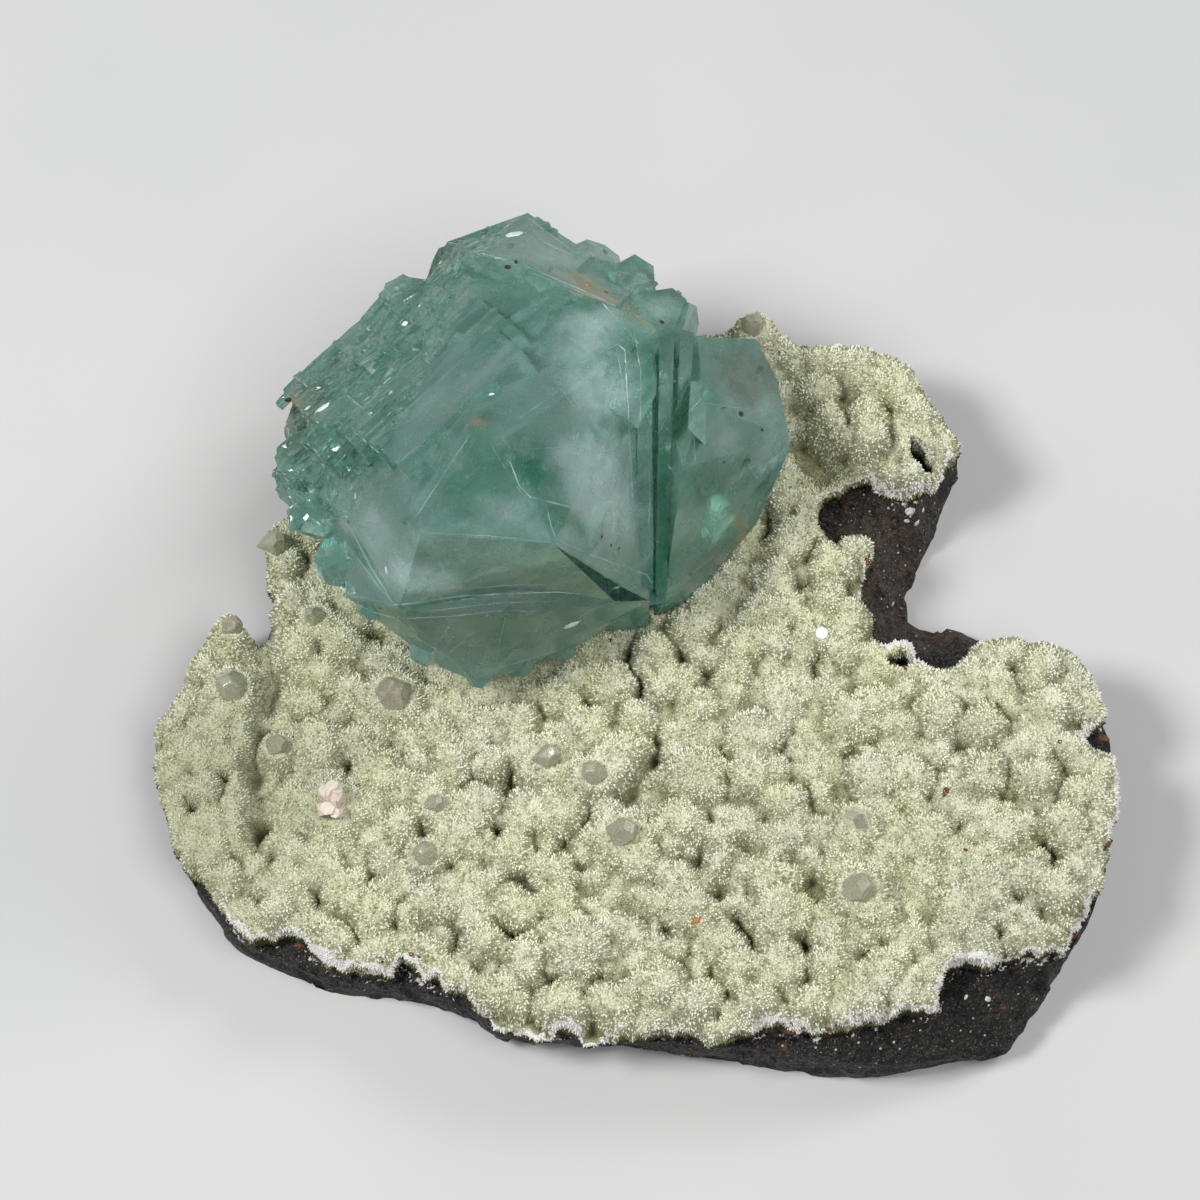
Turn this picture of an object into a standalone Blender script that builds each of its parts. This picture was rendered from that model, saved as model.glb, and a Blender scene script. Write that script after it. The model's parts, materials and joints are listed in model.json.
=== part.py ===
"""Blue-green apophyllite cluster on a druse-crusted slab of basalt.

The specimen lies on the flat underside of its stone. X runs along the slab, Y
across it and Z is up. Sizes in the lists and constants are millimetres, and
every mesh is written in metres.

The pieces are the slab of dark basalt, the pale crust of botryoidal druse that
covers its upper side, the ball of apophyllite crystals that grew on the crust,
one pink stilbite bud, one white flake and the small glassy crystals that are
scattered over the crust.
"""

import math
import random

import bmesh
import bpy
import numpy as np
from mathutils import Matrix, Vector
from mathutils.bvhtree import BVHTree
from mathutils.geometry import delaunay_2d_cdt

MM = 0.001

# Levels of the slab
LEVEL_AT_MIDDLE = 13.5
LEVEL_RISE = 0.055
CRUST_DEPTH = 5.3
CRUST_VALLEY = 2.4
CRUST_LEAST = 1.1
EDGE_ROLL = 1.7
EDGE_ROLL_WIDTH = 3.2
TOUCH_GAP = 0.3
SOCKET_REACH = 2.2

# Spacing of the points that the meshes are drawn through
CRUST_EDGE_STEP = 2.3
CRUST_FILL_STEP = 2.1
CRUST_BACK_STEP = 9.0
STONE_EDGE_STEP = 2.6
STONE_FILL_STEP = 4.4
EDGE_CLEAR = 1.0
RING_POINT_GAP = 1.35
FILL_POINT_GAP = 1.55

# Botryoids of the crust
LUMP_SINK = 0.4
LUMP_RING_POINTS = 6
LUMP_RING_SHARE = 0.8
FILL_LUMP = (1.9, 2.9)
FILL_LUMP_RISE = (-0.4, 0.2)
FILL_LUMP_GAP = 3.1
FILL_LUMP_CLEAR = 0.4
FILL_SEED = 11

# Broken slope and side of the stone
STONE_FALL_POWER = 1.35
STONE_ROUGH = 0.35
STONE_LEAST = 1.2
STONE_BELT_SHARE = 0.45
STONE_BELT_WAVE = 0.25

# The steep pyramid faces of apophyllite lie this far from its long axis
PYRAMID_ANGLE = math.radians(60.4)

# Plan of the crust, clockwise from the tip of the left lobe
CRUST_OUTLINE = [
    (-51.0, 9.5), (-54.0, 6.5), (-56.0, 3.5), (-58.0, -1.0), (-59.8, -4.5), (-60.5, -10.0),
    (-60.0, -13.0), (-58.5, -17.5), (-57.0, -23.0), (-53.5, -26.5), (-50.0, -31.5), (-48.0, -33.5),
    (-45.0, -34.0), (-42.0, -33.5), (-39.5, -35.5), (-37.0, -37.5), (-31.5, -38.7), (-29.2, -38.5),
    (-28.3, -36.3), (-26.0, -39.0), (-22.5, -40.5), (-18.5, -43.5), (-16.0, -46.0), (-10.5, -47.0),
    (-8.0, -46.0), (-6.0, -47.5), (2.0, -47.0), (7.0, -47.0), (9.0, -49.2), (10.8, -47.8),
    (16.5, -46.0), (23.5, -47.0), (28.5, -46.0), (32.5, -45.0), (37.0, -44.0), (38.0, -40.0),
    (40.0, -38.5), (43.0, -39.5), (46.5, -37.5), (51.0, -37.5), (53.5, -36.0), (57.0, -30.0),
    (59.3, -23.5), (60.3, -16.5), (60.0, -11.5), (56.5, -9.3), (59.3, -6.8), (58.6, -3.2),
    (57.0, 0.5), (54.0, 2.8), (50.5, 4.5), (43.0, 4.5), (41.0, 2.5), (38.0, 0.5), (35.0, 4.0),
    (31.5, 4.5), (31.0, 8.0), (29.5, 10.5), (31.0, 16.5), (29.5, 19.0), (25.5, 19.0), (24.0, 21.0),
    (25.0, 23.2), (29.0, 25.5), (31.5, 24.2), (38.5, 24.2), (40.2, 27.5), (42.0, 30.0), (41.2, 33.5),
    (38.5, 38.0), (34.5, 42.7), (30.5, 44.5), (21.5, 46.7), (18.0, 48.6), (15.0, 49.0), (11.0, 47.3),
    (5.0, 48.8), (-4.0, 50.8), (-14.5, 50.4), (-24.5, 47.0), (-33.5, 41.5), (-40.0, 34.0),
    (-43.0, 25.5), (-45.6, 21.0), (-46.6, 15.0), (-46.2, 8.5), (-47.3, 6.6), (-49.0, 7.5),
]

# Plan of the stone: x, y, how far its edge drops, and how far its foot is undercut
STONE_OUTLINE = [
    (-50.7, 8.4, 0.0, 1.0), (-53.4, 5.6, 0.0, 1.0), (-56.4, 1.3, 0.0, 1.2), (-58.6, -4.0, 0.0, 1.2),
    (-59.5, -10.0, 0.0, 1.2), (-58.6, -15.5, 0.0, 1.0), (-56.6, -21.5, 0.0, 0.6),
    (-54.1, -25.8, 0.4, 0.1), (-49.4, -32.1, 0.4, 0.0), (-44.6, -34.6, 0.6, 0.0),
    (-37.5, -37.7, 0.5, 0.0), (-29.0, -38.9, 0.6, 0.0), (-23.6, -40.4, 0.5, 0.2),
    (-19.3, -42.7, 0.3, 0.8), (-16.0, -45.2, 0.0, 1.6), (-9.0, -46.0, 0.0, 1.9),
    (-1.0, -46.2, 0.0, 1.6), (8.0, -47.2, 0.0, 0.9), (15.5, -47.6, 0.6, 0.2),
    (24.5, -49.0, 1.6, 0.3), (33.0, -48.9, 3.5, 0.5), (40.5, -47.6, 5.6, 0.8),
    (46.2, -46.2, 6.6, 1.0), (50.0, -41.3, 6.6, 1.0), (53.6, -35.8, 5.4, 1.0),
    (56.6, -30.4, 2.6, 1.0), (58.6, -24.5, 0.6, 1.0), (59.4, -17.0, 0.0, 1.0),
    (59.8, -9.5, 1.4, 0.8), (58.9, -5.0, 0.0, 1.0), (56.6, -0.4, 0.0, 1.0), (53.5, 2.2, 0.0, 0.9),
    (49.5, 4.6, 0.6, 0.6), (44.5, 8.3, 6.0, 0.4), (40.2, 9.9, 7.0, 0.4), (36.8, 10.0, 7.4, 0.4),
    (35.3, 11.3, 8.0, 0.2), (35.3, 14.5, 8.0, 0.0), (36.7, 18.5, 8.0, 0.0), (38.7, 22.5, 8.0, 0.0),
    (40.6, 27.0, 8.0, 0.2), (42.3, 30.6, 6.0, 0.3), (41.8, 33.2, 1.5, 0.8), (37.8, 37.4, 0.0, 1.0),
    (34.0, 41.8, 0.0, 1.0), (30.2, 43.6, 0.0, 1.0), (21.4, 45.8, 0.0, 1.0), (15.0, 48.0, 0.0, 1.0),
    (11.0, 46.3, 0.0, 1.0), (4.8, 47.9, 0.0, 1.2), (-4.0, 49.8, 0.0, 1.4), (-14.2, 49.5, 0.0, 1.4),
    (-24.0, 46.1, 0.0, 1.4), (-32.8, 40.9, 0.0, 1.4), (-39.1, 33.5, 0.0, 1.2),
    (-42.1, 25.2, 0.0, 1.2), (-44.7, 20.7, 0.0, 1.0), (-45.7, 15.0, 0.0, 1.0),
    (-45.3, 8.0, 0.0, 0.8), (-47.3, 5.6, 0.0, 0.6), (-49.2, 6.5, 0.0, 0.6),
]

# Places where the crust is missing and the stone shows: centre, half sizes, turn in degrees
BARE_SPOTS = [
    (36.4, 28.6, 1.5, 3.0, 24.0),
    (33.4, 1.2, 1.6, 1.1, 15.0),
]

# Furrows of the crust: from, to, depth, half width
FURROWS = [
    ((-47.0, 6.5), (-45.5, -1.0), 2.6, 2.4),
    ((-45.5, -1.0), (-45.0, -7.5), 2.6, 1.9),
    ((-45.0, -7.5), (-46.5, -12.5), 2.3, 1.7),
    ((-46.5, -12.5), (-46.3, -19.5), 2.2, 1.6),
    ((-46.3, -19.5), (-47.5, -23.0), 1.4, 1.4),
    ((22.0, 31.0), (24.0, 27.5), 2.4, 3.0),
    ((24.0, 27.5), (30.0, 26.5), 1.4, 2.2),
    ((16.0, 14.0), (12.5, 8.5), 1.9, 1.8),
    ((0.0, -15.5), (2.5, -11.5), 2.2, 1.3),
    ((14.0, -23.0), (11.0, -29.0), 2.0, 1.3),
    ((20.0, -25.0), (22.5, -29.5), 1.6, 1.1),
    ((-26.0, -32.5), (-22.5, -34.5), 1.8, 1.3),
    ((-19.0, -30.5), (-16.0, -29.0), 1.5, 1.5),
    ((40.0, -14.5), (41.0, -9.0), 1.5, 1.2),
    ((33.0, -28.5), (36.0, -33.0), 1.3, 1.1),
    ((-5.5, -28.0), (1.5, -32.0), 1.6, 1.2),
]

# Main botryoids of the crust: x, y, radius
MAIN_LUMPS = [
    (-51.0, 6.0, 2.5), (-53.5, 2.0, 2.5), (-50.0, -0.5, 2.6), (-52.0, -6.0, 2.5),
    (-48.5, -6.5, 2.2), (-53.5, -10.0, 2.5), (-50.0, -10.5, 2.2), (-47.3, -13.0, 2.5),
    (-53.0, -14.5, 2.5), (-49.0, -16.5, 2.6), (-52.5, -19.0, 2.2), (-48.7, -20.0, 2.5),
    (-51.5, -22.5, 2.5), (-50.0, -26.0, 2.2),
    (-44.0, 15.5, 2.6), (-42.5, 11.0, 2.5), (-42.5, 4.0, 3.5), (-38.5, 7.0, 2.6),
    (-36.0, 4.5, 3.0), (-43.7, -2.0, 2.3), (-38.5, 0.5, 2.6), (-39.0, -8.5, 4.0),
    (-31.0, -12.0, 3.2), (-42.5, -15.5, 2.5), (-34.0, -8.0, 2.5), (-29.5, -2.0, 3.2),
    (-31.0, 2.0, 2.5), (-35.0, -2.5, 2.5),
    (-24.0, -7.5, 2.6), (-22.0, -11.5, 3.1), (-17.3, -11.5, 2.5), (-29.5, -13.5, 2.5),
    (-25.0, -16.0, 3.5), (-21.0, -21.0, 4.0), (-29.0, -20.0, 2.5), (-42.0, -22.5, 2.5),
    (-42.0, -27.0, 2.8), (-38.5, -24.5, 3.2), (-35.0, -27.5, 2.8), (-44.0, -30.5, 2.4),
    (-36.5, -34.5, 2.5), (-32.0, -30.5, 3.8), (-25.5, -30.5, 3.2), (-19.0, -17.5, 3.5),
    (-15.0, -23.5, 3.0), (-14.5, -30.5, 2.5), (-18.5, -35.0, 3.1), (-13.0, -37.0, 3.2),
    (-15.5, -41.0, 2.5), (-9.0, -30.0, 3.1), (-6.8, -35.8, 5.0), (-9.5, -26.0, 2.5),
    (-1.5, -12.0, 5.0), (-6.5, -13.5, 3.0), (7.5, -14.0, 5.0), (6.0, -20.0, 4.0),
    (12.0, -25.5, 3.2), (7.0, -31.0, 3.1), (0.8, -25.0, 3.2), (15.0, -14.0, 4.0),
    (18.5, -17.5, 3.1), (17.5, -31.5, 4.1),
    (-14.0, -6.5, 3.1), (-9.0, -2.5, 2.2), (-2.5, -2.0, 3.5), (4.5, -1.5, 3.1), (3.0, 2.6, 3.0),
    (7.3, 5.5, 3.0), (13.5, 3.0, 3.8), (17.0, 4.0, 3.0), (13.0, 0.0, 2.5), (8.5, -4.7, 3.1),
    (1.0, -6.3, 3.0), (-5.0, -7.3, 3.0), (15.0, -8.5, 4.1), (-9.0, -18.0, 3.5),
    (-13.0, -18.5, 3.0), (-12.0, -13.0, 2.6),
    (26.0, 2.0, 2.8), (27.0, -7.0, 3.6), (30.5, -5.0, 3.4), (29.5, -14.0, 3.7),
    (34.0, -15.0, 3.2), (38.0, -6.5, 3.1), (43.5, -8.0, 3.3), (43.0, -14.5, 3.7),
    (49.5, -15.0, 3.2), (52.0, -5.3, 3.2), (50.5, -0.5, 2.8), (53.5, -21.0, 3.1),
    (36.5, -22.0, 3.5), (27.0, -22.0, 3.2), (26.0, -26.7, 3.2), (43.0, -29.0, 3.4),
    (48.5, -27.5, 3.2), (40.3, -32.5, 4.0), (52.0, -30.0, 3.0), (29.0, -32.3, 4.0),
    (24.0, -38.5, 3.5), (30.5, -39.0, 3.0), (18.0, -38.5, 3.2), (12.7, -38.5, 3.1),
    (3.3, -40.8, 3.2), (-2.0, -43.3, 3.2), (7.5, -43.5, 2.8), (15.5, -43.0, 2.8),
    (21.5, -43.3, 2.8), (27.0, -43.0, 2.6), (-8.3, -43.3, 2.8),
    (15.3, 46.5, 2.2), (25.5, 42.0, 2.6), (23.5, 38.0, 3.0), (31.5, 38.5, 2.8),
    (30.0, 34.5, 2.8), (36.0, 35.0, 2.4), (19.6, 16.0, 2.6), (17.0, 13.0, 3.2),
    (24.8, 14.5, 2.6), (24.5, 8.5, 2.8), (19.5, 8.0, 3.0), (27.0, 6.0, 2.6), (19.0, 23.0, 2.2),
]

# The two steep domes of the right-hand lobe stand clear of the rest: x, y, radius, extra rise
PROUD_LUMPS = [
    (24.6, 32.8, 2.9, 1.5),
    (29.8, 30.8, 3.0, 1.3),
]

# Corners of the large crystals of the ball. The first is the broad middle block.
BALL_BLOCKS = {
    "middle": [
        (-18.5, 12.5, 57.0), (-15.0, 12.5, 57.0), (-25.0, 2.0, 53.0), (-9.5, 2.0, 50.0),
        (3.5, 33.0, 44.0), (2.0, 4.5, 26.0), (-28.0, -1.5, 39.0), (-34.5, 9.0, 42.0),
        (-20.5, 43.0, 42.0), (-9.0, 37.5, 47.0), (-39.5, 24.5, 35.0), (-31.0, 38.0, 37.0),
        (-41.5, 18.5, 31.0), (-36.5, 9.5, 28.0), (2.0, 6.5, 11.0), (3.0, 15.0, 11.0),
        (-2.0, 29.0, 11.0), (-14.0, 33.0, 11.0), (-25.0, 27.0, 11.0), (-27.0, 15.0, 11.0),
        (-19.0, 8.0, 11.0), (-7.0, 5.5, 11.0), (-34.0, 35.0, 24.0), (-8.0, 43.0, 27.0),
    ],
    "crown": [
        (-13.0, 52.0, 37.0), (-23.0, 49.0, 35.0), (1.0, 42.5, 36.0), (-20.5, 43.0, 44.0),
        (-3.0, 34.0, 46.0), (-13.5, 40.0, 48.0), (-26.0, 41.5, 37.0), (-9.0, 31.5, 46.0),
        (-13.0, 46.0, 22.0), (-22.0, 40.0, 20.0), (-1.0, 38.0, 20.0), (-12.0, 30.0, 18.0),
    ],
    "right": [
        (8.0, 35.5, 36.0), (15.5, 38.5, 29.0), (18.0, 33.5, 28.0), (19.5, 26.0, 27.0),
        (19.5, 25.0, 25.0), (15.5, 18.0, 18.0), (11.5, 14.5, 13.5), (7.5, 10.0, 12.5),
        (3.0, 7.5, 12.5), (8.5, 24.5, 40.0), (6.0, 16.5, 39.0), (4.0, 6.5, 24.0),
        (2.0, 35.5, 34.0), (-1.0, 14.0, 12.5), (1.0, 30.0, 13.0), (9.0, 29.0, 14.0),
        (13.0, 34.0, 20.0), (4.0, 37.0, 22.0),
    ],
    "ledge": [
        (-28.0, -1.5, 38.0), (2.0, 5.0, 25.0), (-9.0, 0.5, 18.0), (-14.0, -2.5, 20.0),
        (-19.5, -4.5, 22.0), (-23.5, -3.5, 24.0), (-28.5, -1.0, 28.0), (-35.0, 3.5, 30.0),
        (-16.0, -1.5, 36.0), (-3.5, 4.5, 16.0), (-12.0, 12.0, 12.0), (-24.0, 12.0, 16.0),
        (-35.0, 9.0, 36.0), (-10.0, 6.0, 40.0),
    ],
    "front_plate": [
        (0.5, 28.5, 48.5), (2.2, 29.0, 48.0), (2.5, 5.5, 27.5), (0.5, 5.0, 29.0),
        (-2.0, 20.0, 30.0), (3.5, 20.0, 20.0), (2.0, 8.0, 16.0), (-1.0, 26.0, 40.0),
    ],
    "middle_plate": [
        (3.2, 30.5, 46.8), (5.0, 31.0, 45.5), (4.2, 6.0, 25.0), (2.8, 5.8, 26.0),
        (3.0, 20.0, 25.0), (1.0, 26.0, 30.0), (3.5, 8.0, 15.0),
    ],
    "back_plate": [
        (5.8, 33.0, 43.5), (7.5, 33.5, 41.5), (5.4, 8.0, 25.0), (4.4, 7.6, 26.0),
        (6.0, 20.0, 24.0), (2.0, 28.0, 26.0), (4.5, 9.0, 15.0),
    ],
    "diamond": [
        (7.0, 27.0, 41.5), (9.0, 26.0, 43.0), (11.0, 24.3, 41.0), (8.7, 18.6, 41.3),
        (6.6, 20.5, 42.0), (8.0, 22.5, 33.0),
    ],
}

# Pointed crystals of the ball: tip, half width, half thickness, length, blunt, roll in degrees
BALL_CRYSTALS = [
    ((-19.3, -4.6, 20.0), 5.5, 5.0, 20.0, 0.6, 20.0),
    ((-26.2, -3.4, 25.5), 5.0, 5.5, 20.0, 1.0, 50.0),
    ((-33.0, 1.2, 29.5), 4.6, 4.6, 20.0, 0.8, 10.0),
    ((-13.6, -2.8, 19.0), 4.5, 4.5, 18.0, 0.5, 65.0),
    ((-8.4, 0.3, 17.0), 4.8, 4.2, 16.0, 0.8, 35.0),
    ((-38.2, 6.2, 31.0), 4.2, 4.6, 20.0, 1.2, 70.0),
    ((-42.0, 13.0, 31.5), 4.4, 4.4, 20.0, 1.2, 25.0),
    ((-43.8, 20.0, 31.5), 5.0, 4.2, 20.0, 1.6, 55.0),
    ((-3.6, 47.8, 34.5), 4.8, 4.8, 20.0, 1.0, 20.0),
    ((1.2, 46.0, 35.5), 4.5, 4.8, 20.0, 1.4, 65.0),
    ((6.0, 41.6, 34.5), 4.6, 4.6, 20.0, 1.2, 40.0),
    ((8.0, 37.0, 27.0), 5.0, 5.0, 20.0, 1.4, 10.0),
    ((-23.0, 49.3, 33.0), 4.8, 5.0, 20.0, 1.0, 30.0),
    ((-30.0, 44.2, 33.0), 5.0, 4.6, 20.0, 1.4, 60.0),
    ((-37.5, 36.8, 30.0), 5.2, 5.0, 22.0, 1.2, 15.0),
    ((-42.5, 28.5, 27.5), 5.2, 5.0, 22.0, 1.6, 45.0),
    ((-14.0, 50.0, 25.0), 6.0, 5.4, 22.0, 1.4, 20.0),
    ((-27.5, 44.0, 22.0), 6.2, 5.6, 22.0, 1.6, 50.0),
    ((-2.0, 44.5, 22.5), 5.6, 5.2, 20.0, 1.2, 75.0),
    ((-39.0, 24.0, 19.5), 5.8, 5.4, 22.0, 1.4, 35.0),
    ((-36.5, 34.5, 20.5), 5.6, 5.2, 22.0, 1.2, 5.0),
    ((-35.5, 13.5, 20.5), 5.2, 5.0, 20.0, 1.4, 60.0),
    ((14.0, 33.5, 18.5), 5.0, 4.4, 16.0, 1.0, 25.0),
]
BALL_CORE = Vector((-14.0, 20.0, 30.0))

# Terraces that step down from the top of the ball to its upper left edge
TERRACE_COUNT = 7
TERRACE_OUTER = Vector((-35.6, 33.6, 33.8))
TERRACE_INNER = Vector((-22.0, 20.0, 52.0))
TERRACE_RUN = Vector((16.0, 14.5, 3.0))
TERRACE_HALF_LENGTH = (6.5, 12.0)
TERRACE_HALF_WIDTH = 3.4
TERRACE_HALF_HEIGHT = 2.6
TERRACE_TILT = math.radians(11.0)
TERRACE_SEED = 5

# Small glassy crystals on the crust: x, y, half width, height, lean in degrees
GLASSY_CRYSTALS = [
    (-49.5, 6.6, 1.2, 2.0, 20.0), (-50.6, -1.6, 2.0, 2.2, -15.0), (-44.3, 17.6, 1.4, 2.4, 25.0),
    (-40.4, 7.6, 1.1, 1.9, -20.0), (-29.2, -3.2, 2.3, 2.4, 10.0), (-43.6, -9.4, 1.3, 1.8, 15.0),
    (-25.8, -24.2, 1.5, 2.0, -10.0), (-23.8, -17.8, 1.1, 1.6, 20.0), (-9.2, -11.6, 1.3, 2.2, 35.0),
    (-5.2, -14.2, 1.6, 1.9, -12.0), (-0.4, -21.8, 1.8, 2.2, 18.0), (26.8, -20.8, 1.6, 1.8, -20.0),
    (28.0, -30.0, 2.0, 2.2, 12.0), (15.2, 46.6, 1.5, 2.0, -10.0),
]
GLASSY_FLATNESS = 0.85
GLASSY_BLUNT = 0.35
GLASSY_SEAT = 1.3

# Pink bud: its place, and for each blade x, y, turn, lean in degrees and size
STILBITE_PLACE = (-37.2, -17.6)
STILBITE_REACH = 2.6
STILBITE_LIFT = 0.8
STILBITE_BLADES = [
    (0.2, 1.6, 25.0, 20.0, 1.5), (0.8, 1.2, -30.0, 28.0, 1.3), (-0.3, -1.5, 10.0, -18.0, 1.6),
    (0.6, -1.9, -15.0, -30.0, 1.2), (-0.9, 1.3, 60.0, 30.0, 1.2),
]

# White flake
FLAKE_PLACE = (23.6, 3.8)
FLAKE_RADIUS = 1.0
FLAKE_THICKNESS = 0.5

# Colour, roughness, see-through share and refraction of each material
FINISHES = {
    "basalt": ((0.040, 0.036, 0.034), 0.85, 0.0, 1.50),
    "druse": ((0.560, 0.570, 0.360), 0.80, 0.0, 1.50),
    "apophyllite": ((0.200, 0.480, 0.400), 0.12, 0.6, 1.535),
    "glassy": ((0.620, 0.640, 0.520), 0.15, 0.6, 1.535),
    "stilbite": ((0.820, 0.640, 0.560), 0.45, 0.0, 1.50),
    "flake": ((0.900, 0.900, 0.880), 0.25, 0.0, 1.53),
}


def level(x):
    """Mean height of the crust's upper side at x."""
    return LEVEL_AT_MIDDLE + LEVEL_RISE * x


def closed_curve(controls, step):
    """Points about a step apart on a smooth closed curve through the control points."""
    nodes = [np.array(c, dtype=float) for c in controls]
    count = len(nodes)
    points = []
    for i, start in enumerate(nodes):
        before = nodes[i - 1]
        end = nodes[(i + 1) % count]
        after = nodes[(i + 2) % count]
        pieces = max(1, round(float(np.linalg.norm(end[:2] - start[:2])) / step))
        for k in range(pieces):
            t = k / pieces
            bend = (2.0 * start + (end - before) * t
                    + (2.0 * before - 5.0 * start + 4.0 * end - after) * t * t
                    + (3.0 * start - before - 3.0 * end + after) * t ** 3)
            points.append(0.5 * bend)
    return np.array(points)


def ellipse(x, y, half_a, half_b, turn, count=12):
    """Closed ring of points around a bare spot."""
    angle = np.linspace(0.0, 2.0 * math.pi, count, endpoint=False)
    c, s = math.cos(math.radians(turn)), math.sin(math.radians(turn))
    a, b = half_a * np.cos(angle), half_b * np.sin(angle)
    return np.stack([x + a * c - b * s, y + a * s + b * c], axis=1)


def inside(points, ring):
    """Which of the points lie inside the ring, by counting crossings."""
    hit = np.zeros(len(points), dtype=bool)
    px, py = points[:, 0], points[:, 1]
    for (x0, y0), (x1, y1) in zip(ring, np.roll(ring, -1, axis=0)):
        if y0 == y1:
            continue
        crosses = ((y0 > py) != (y1 > py)) & (px < (x1 - x0) * (py - y0) / (y1 - y0) + x0)
        hit ^= crosses
    return hit


def segment_distance(points, start, end):
    """Distance of each point from one straight segment."""
    start, end = np.asarray(start), np.asarray(end)
    run = end - start
    t = np.clip(((points - start) @ run) / max(float(run @ run), 1e-9), 0.0, 1.0)
    return np.linalg.norm(points - (start + t[:, None] * run), axis=1)


def ring_distance(points, ring):
    """Distance of each point from the nearest side of a ring."""
    nearest = np.full(len(points), 1e9)
    for start, end in zip(ring, np.roll(ring, -1, axis=0)):
        nearest = np.minimum(nearest, segment_distance(points, start, end))
    return nearest


def inward(ring, distances):
    """The ring with each point moved towards the inside by its own distance."""
    run = np.roll(ring, -1, axis=0) - np.roll(ring, 1, axis=0)
    run /= np.linalg.norm(run, axis=1)[:, None]
    side = np.stack([-run[:, 1], run[:, 0]], axis=1)
    area = np.sum(ring[:, 0] * np.roll(ring[:, 1], -1) - ring[:, 1] * np.roll(ring[:, 0], -1))
    return ring + side * math.copysign(1.0, area) * np.asarray(distances)[:, None]


def spread(ring, step, seed, margin):
    """Seeded, evenly spaced points inside a ring, kept off its edge and off each other."""
    rng = random.Random(seed)
    low, high = ring.min(axis=0), ring.max(axis=0)
    row = step * math.sqrt(3.0) / 2.0
    points = []
    y, odd = low[1], 0
    while y < high[1]:
        x = low[0] + (step / 2.0 if odd else 0.0)
        while x < high[0]:
            points.append((x + rng.uniform(-0.18, 0.18) * step, y + rng.uniform(-0.18, 0.18) * step))
            x += step
        y += row
        odd = 1 - odd
    points = np.array(points)
    points = points[inside(points, ring)]
    return points[ring_distance(points, ring) > margin]


def apart(points, taken, gap):
    """The points that keep a gap from every point already taken."""
    kept = []
    for p in points:
        if len(taken) == 0 or np.min(np.linalg.norm(taken - p, axis=1)) > gap:
            kept.append(p)
    return np.array(kept).reshape(-1, 2)


class Crust:
    """Plan and heights of the druse crust."""

    def __init__(self):
        self.edge = closed_curve(CRUST_OUTLINE, CRUST_EDGE_STEP)
        self.holes = [ellipse(*spot) for spot in BARE_SPOTS]
        self.lumps = self.place_lumps()

    def place_lumps(self):
        """The main botryoids, and seeded smaller ones that fill the space between them."""
        rows = [(x, y, r, 0.0) for x, y, r in MAIN_LUMPS] + list(PROUD_LUMPS)
        centres = np.array([row[:2] for row in rows])
        radii = np.array([row[2] for row in rows])
        rng = random.Random(FILL_SEED)
        for x, y in spread(self.edge, FILL_LUMP_GAP, FILL_SEED, EDGE_CLEAR):
            nearest = np.min(np.linalg.norm(centres - (x, y), axis=1) - radii)
            if nearest > FILL_LUMP_CLEAR:
                rows.append((x, y, rng.uniform(*FILL_LUMP), rng.uniform(*FILL_LUMP_RISE)))
        return np.array(rows)

    def top(self, points):
        """Height of the crust's upper side over each point of the plan."""
        base = level(points[:, 0])
        height = base - CRUST_VALLEY
        for x, y, radius, rise in self.lumps:
            away = (points[:, 0] - x) ** 2 + (points[:, 1] - y) ** 2
            dome = base + rise + np.sqrt(np.maximum(radius ** 2 - away, 0.0)) - LUMP_SINK * radius
            height = np.where(away < radius ** 2, np.maximum(height, dome), height)
        for start, end, depth, width in FURROWS:
            away = segment_distance(points, start, end) / width
            height = height - depth * np.exp(-away ** 2)
        roll = np.clip(1.0 - ring_distance(points, self.edge) / EDGE_ROLL_WIDTH, 0.0, 1.0)
        height = height - EDGE_ROLL * roll ** 2
        return np.maximum(height, base - CRUST_DEPTH + CRUST_LEAST + TOUCH_GAP)

    def sample_points(self):
        """Plan points of the upper side: each botryoid's centre and ring, then an even fill."""
        centres = self.lumps[:, :2]
        centres = centres[inside(centres, self.edge) & (ring_distance(centres, self.edge) > EDGE_CLEAR)]
        taken = np.vstack([self.edge, *self.holes])
        centres = apart(centres, taken, EDGE_CLEAR)
        taken = np.vstack([taken, centres])
        ring = []
        for x, y, radius, _ in self.lumps:
            away = LUMP_RING_SHARE * radius
            for k in range(LUMP_RING_POINTS):
                angle = x + 2.0 * math.pi * k / LUMP_RING_POINTS
                ring.append((x + away * math.cos(angle), y + away * math.sin(angle)))
        ring = np.array(ring)
        ring = ring[inside(ring, self.edge)]
        ring = ring[ring_distance(ring, self.edge) > EDGE_CLEAR]
        kept = []
        for p in ring:
            stack = np.vstack([taken, np.array(kept).reshape(-1, 2)])
            if np.min(np.linalg.norm(stack - p, axis=1)) > RING_POINT_GAP:
                kept.append(p)
        taken = np.vstack([taken, np.array(kept)])
        fill = apart(spread(self.edge, CRUST_FILL_STEP, FILL_SEED, EDGE_CLEAR), taken, FILL_POINT_GAP)
        points = np.vstack([centres, np.array(kept), fill])
        for hole in self.holes:
            points = points[~inside(points, hole)]
        return points


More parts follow.
